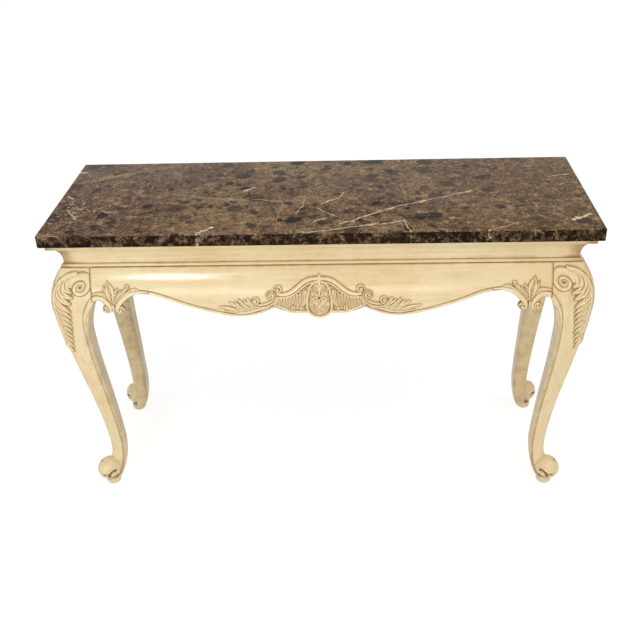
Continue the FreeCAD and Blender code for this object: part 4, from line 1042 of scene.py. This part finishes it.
def clasts(tree, colour, place, drifts, grit):
    """Dark rounded clasts of three sizes: cells with a size, tone and strength of their own, thicker in drifts."""
    for scale, reach, strength in ((20, 0.50, 1), (34, 0.48, 1), (76, 0.47, 0.9)):
        cells = put(tree, "TexVoronoi", feature="F1", Vector=place, Scale=scale, Randomness=1).outputs
        size, tone, body = split(tree, cells["Color"])
        blob = maths(tree, "MULTIPLY_ADD", size, 0.6, cells["Distance"])
        cover = remap(tree, drifts, 0.34, 0.66, reach - 0.12, reach + 0.16)
        inside = remap(tree, maths(tree, "SUBTRACT", cover, blob), 0, 0.11)
        shade = blend(tree, tone, rgb(40, 31, 27), rgb(82, 65, 54))
        shade = layered(tree, shade, (grit, 0.46, 0.30, 0.45, rgb(118, 95, 73)))
        colour = blend(tree, inside, colour, shade, remap(tree, body, 0.2, 0.9, 0.3 * strength, strength))
    return colour


def veins(tree, colour, place, warped):
    """Fine veins of three sizes, pale chips round one spot, and the bold veins, each in its own place."""
    fine = fine_vein_group()
    for scale, width, cover, strength in (
        (6, 0.0055, 0.50, 0.6), (15, 0.009, 0.54, 0.5), (32, 0.014, 0.56, 0.4),
    ):
        made = use_group(tree, fine, Place=warped, Scale=scale, Width=width, Cover=cover)
        colour = blend(tree, made["Mask"], colour, rgb(190, 164, 122), strength)
    near = remap(tree, vectors(tree, "DISTANCE", place, CHIPS_SPOT), 0.12, 0.04)
    chips = maths(tree, "MULTIPLY", remap(tree, noise(tree, place, 95, 2), 0.62, 0.66), near)
    colour = blend(tree, chips, colour, PALE, 0.8)
    level = shifted(tree, place, (VEIN_WANDER, VEIN_WANDER, 0), place, 19, 5, 0.62)
    level = vectors(tree, "MULTIPLY", level, (1, 1, 0))
    bold, middle = vein_group(), VEIN_WANDER / 2
    for x, y, end_x, end_y, width, tint, strength in BOLD_VEINS:
        run = np.array([end_x - x, end_y - y, 0])
        made = use_group(tree, bold, Place=level, Start=(x + middle, y + middle, 0), Run=run.tolist(),
                         Along=(run / (run ** 2).sum()).tolist(), Width=width)
        colour = blend(tree, made["Mask"], colour, tint, strength)
    return colour


def stone_finish():
    """Polished brown stone: dark clasts in a gritty tan ground, fine and bold pale veins, and edges darkened in
    patches as painted shade.
    """
    material, tree, shader = new_material("brown_stone")
    place = object_place(tree)
    along, _, up = put(tree, "SeparateXYZ", Vector=place).outputs
    warped = shifted(tree, place, (0.030, 0.030, 0.030), place, 14, 3, 0.55)
    frayed = shifted(tree, warped, (0.013, 0.013, 0.013), place, 70, 3, 0.6)
    clouds = noise(tree, place, 5, 4, 0.6)
    drifts = noise(tree, place, 8, 3, 0.6)
    patches = noise(tree, warped, 38, 6, 0.7)
    grit = noise(tree, place, 150, 5, 0.75)
    coarse = noise(tree, place, 48, 8, 0.85)
    colour = blend(tree, remap(tree, clouds, 0.36, 0.62), rgb(115, 89, 69), rgb(148, 122, 90))
    colour = layered(
        tree, colour, (along, -0.15, -0.55, 0.7, rgb(114, 86, 70)), (along, 0.10, 0.55, 0.75, rgb(108, 80, 54)),
        (patches, 0.47, 0.38, 0.8, rgb(66, 49, 39)), (patches, 0.53, 0.64, 0.75, rgb(186, 159, 124)),
        (grit, 0.50, 0.64, 0.8, rgb(46, 33, 26)), (grit, 0.47, 0.33, 0.7, rgb(194, 171, 138)),
    )
    colour = clasts(tree, colour, frayed, drifts, grit)
    colour = veins(tree, colour, place, warped)
    # Painted shade: below the top face the slab's edges go near black, in noisy patches.
    edge_shade, top = remap(tree, coarse, 0.41, 0.53, 0.24, 1), TOP_HEIGHT * MM
    colour = layered(tree, colour, (up, top - 0.0005, top - 0.0025, edge_shade, rgb(30, 20, 15)))
    coat(tree, shader, colour, remap(tree, patches, 0.3, 0.75, 0.18, 0.32), grit, 0.06, 0.0005)
    shader["Specular IOR Level"].default_value = 0.03
    return material


def speckled_finish(name, first, second, scale, rough, metal):
    """Small fitting: two tones mixed by noise, with a matching change in roughness."""
    material, tree, shader = new_material(name)
    spots = noise(tree, object_place(tree), scale, 4, 0.6)
    give(tree, shader["Base Color"], blend(tree, remap(tree, spots, 0.35, 0.65), first, second))
    give(tree, shader["Roughness"], remap(tree, spots, 0.3, 0.7, rough - 0.08, rough + 0.12))
    give(tree, shader["Metallic"], metal)
    return material


def finish_nodes(names, material):
    """Give CAD nodes that stay in view a finish."""
    for name in names:
        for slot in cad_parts[name].material_slots:
            slot.material = material


def dress():
    """Every finish and every piece."""
    group = rubbed_paint_group()
    tones = {"Paint": rgb(238, 221, 180), "Warm": rgb(231, 209, 164), "Glaze": rgb(156, 118, 72)}
    rail_paint, leg_paint, carving_paint = (
        group_finish("cream_paint_" + use, group, 0.08, 0.0006, Brush=brush, **tones)
        for use, brush in (("rails", (9, 120, 120)), ("legs", (120, 120, 9)), ("carving", (60, 60, 60)))
    )
    rails(rail_paint)
    cornice(rail_paint)
    carve(carving_paint)
    legs(leg_paint)
    stone_top(stone_finish())
    wood = wood_group()
    tones = {"Early": rgb(190, 152, 106), "Late": rgb(150, 112, 72)}
    blocks = ["corner_block_" + corner for corner in CORNERS] + ["mitre_splines"]
    for use, nodes, grain in (
        ("bearers", ["bearer_left", "bearer_right"], (90, 6, 90)), ("blocks", blocks, (60, 60, 12)),
        ("dowels", ["leg_dowels"], (160, 160, 10)),
    ):
        finish_nodes(nodes, group_finish("bare_wood_" + use, wood, 0.2, 0.0008, Grain=grain, **tones))
    for nodes, *fitting in (
        (["apron_screws", "cornice_screws"], "dull_zinc", rgb(150, 150, 148), rgb(118, 116, 112), 400, 0.42, 1),
        (["slab_pads"], "clear_rubber", rgb(206, 204, 196), rgb(180, 176, 166), 300, 0.5, 0),
        (["foot_glides"], "brown_plastic", rgb(74, 56, 42), rgb(58, 44, 34), 260, 0.45, 0),
    ):
        finish_nodes(nodes, speckled_finish(*fitting))


# Floor, light and camera, in metres, watts and degrees

FLOOR_HALF = 14
# Each lamp's spot, what it is aimed at, its size, power and tint
LAMPS = {
    "key_light": ((-0.90, -2.55, 1.68), (0, 0, 0.6), (0.42, 0.36), 10.5, (1, 1, 1)),
    "top_light": ((1.4, -1.4, 3), (0, 0, 0.6), (1.8, 1.8), 20, (1, 0.90, 0.74)),
    "low_light": ((-0.6, -3, 0.45), (0, 0, 0.45), (2.6, 0.7), 18.5, (1, 0.96, 0.90)),
}
CAMERA_SPOT, CAMERA_YAW, CAMERA_PITCH, CAMERA_ROLL = (0.0955, -2.173, 1.731), -2.832, -30.763, -1.982
SENSOR_MM, LENS_MM = 36, 50.07


def seen_as(tree, hidden, shown):
    """One shader for rays from the camera, off shiny or through clear surfaces, and a hidden one for the rest."""
    path = put(tree, "LightPath").outputs
    seen = maths(tree, "MAXIMUM", path["Is Camera Ray"], path["Is Glossy Ray"])
    seen = maths(tree, "MAXIMUM", seen, path["Is Transmission Ray"])
    return put(tree, "MixShader", _0=seen, _1=hidden.outputs[0], _2=shown.outputs[0]).outputs[0]


def put_in_scene(name, data):
    """New object in the scene."""
    item = bpy.data.objects.new(name, data)
    bpy.context.scene.collection.objects.link(item)
    return item


def facing(spot, toward, roll):
    """Placement at a spot that looks along a direction, rolled about it."""
    right = np.array([toward[1], -toward[0], 0])
    right = right / np.linalg.norm(right)
    up = np.cross(right, toward)
    turned_right = math.cos(roll) * right + math.sin(roll) * up
    turned_up = math.cos(roll) * up - math.sin(roll) * right
    matrix = np.eye(4)
    matrix[:3] = np.column_stack([turned_right, turned_up, -toward, spot])
    return Matrix(matrix.tolist())


def stage():
    """Pale floor, a sky that is white where seen, a key light from the left, and soft light from above and low."""
    mesh = bpy.data.meshes.new("floor")
    corners = [(x * FLOOR_HALF, y * FLOOR_HALF, 0) for x, y in ((-1, -1), (1, -1), (1, 1), (-1, 1))]
    mesh.from_pydata(corners, [], [(0, 1, 2, 3)])
    floor = put_in_scene("floor", mesh)
    material = bpy.data.materials.new("pale_floor")
    tree = cleared(material)
    plain = put(tree, "BsdfDiffuse", Color=(0.88, 0.87, 0.84, 1))
    seen = put(tree, "BsdfDiffuse", Color=(0.48, 0.48, 0.48, 1))
    lift = put(tree, "Emission", Color=(1, 1, 1, 1), Strength=0.74)
    bright = put(tree, "AddShader", _0=seen.outputs[0], _1=lift.outputs[0])
    put(tree, "OutputMaterial", Surface=seen_as(tree, plain, bright))
    mesh.materials.append(material)

    world = bpy.data.worlds.new("studio")
    bpy.context.scene.world = world
    tree = cleared(world)
    soft = put(tree, "Background", Color=(1, 0.98, 0.94, 1), Strength=0.56)
    white = put(tree, "Background", Color=(1, 1, 1, 1), Strength=1)
    put(tree, "OutputWorld", Surface=seen_as(tree, soft, white))

    for name, (spot, aim, size, watts, tint) in LAMPS.items():
        lamp = bpy.data.lights.new(name, "AREA")
        lamp.shape = "RECTANGLE"
        lamp.size, lamp.size_y = size
        lamp.energy, lamp.color = watts, tint
        toward = np.subtract(aim, spot)
        put_in_scene(name, lamp).matrix_world = facing(spot, toward / np.linalg.norm(toward), 0)


def camera():
    """Camera at the photograph's angle: a normal lens, above and in front of the table."""
    yaw, pitch, roll = np.radians([CAMERA_YAW, CAMERA_PITCH, CAMERA_ROLL])
    toward = np.array([math.sin(yaw) * math.cos(pitch), math.cos(yaw) * math.cos(pitch), math.sin(pitch)])
    lens = bpy.data.cameras.new("camera")
    lens.sensor_width, lens.lens = SENSOR_MM, LENS_MM
    seen = put_in_scene("camera", lens)
    seen.matrix_world = facing(CAMERA_SPOT, toward, roll)
    bpy.context.scene.camera = seen
    bpy.context.scene.view_settings.view_transform = "Standard"


dress()
stage()
camera()
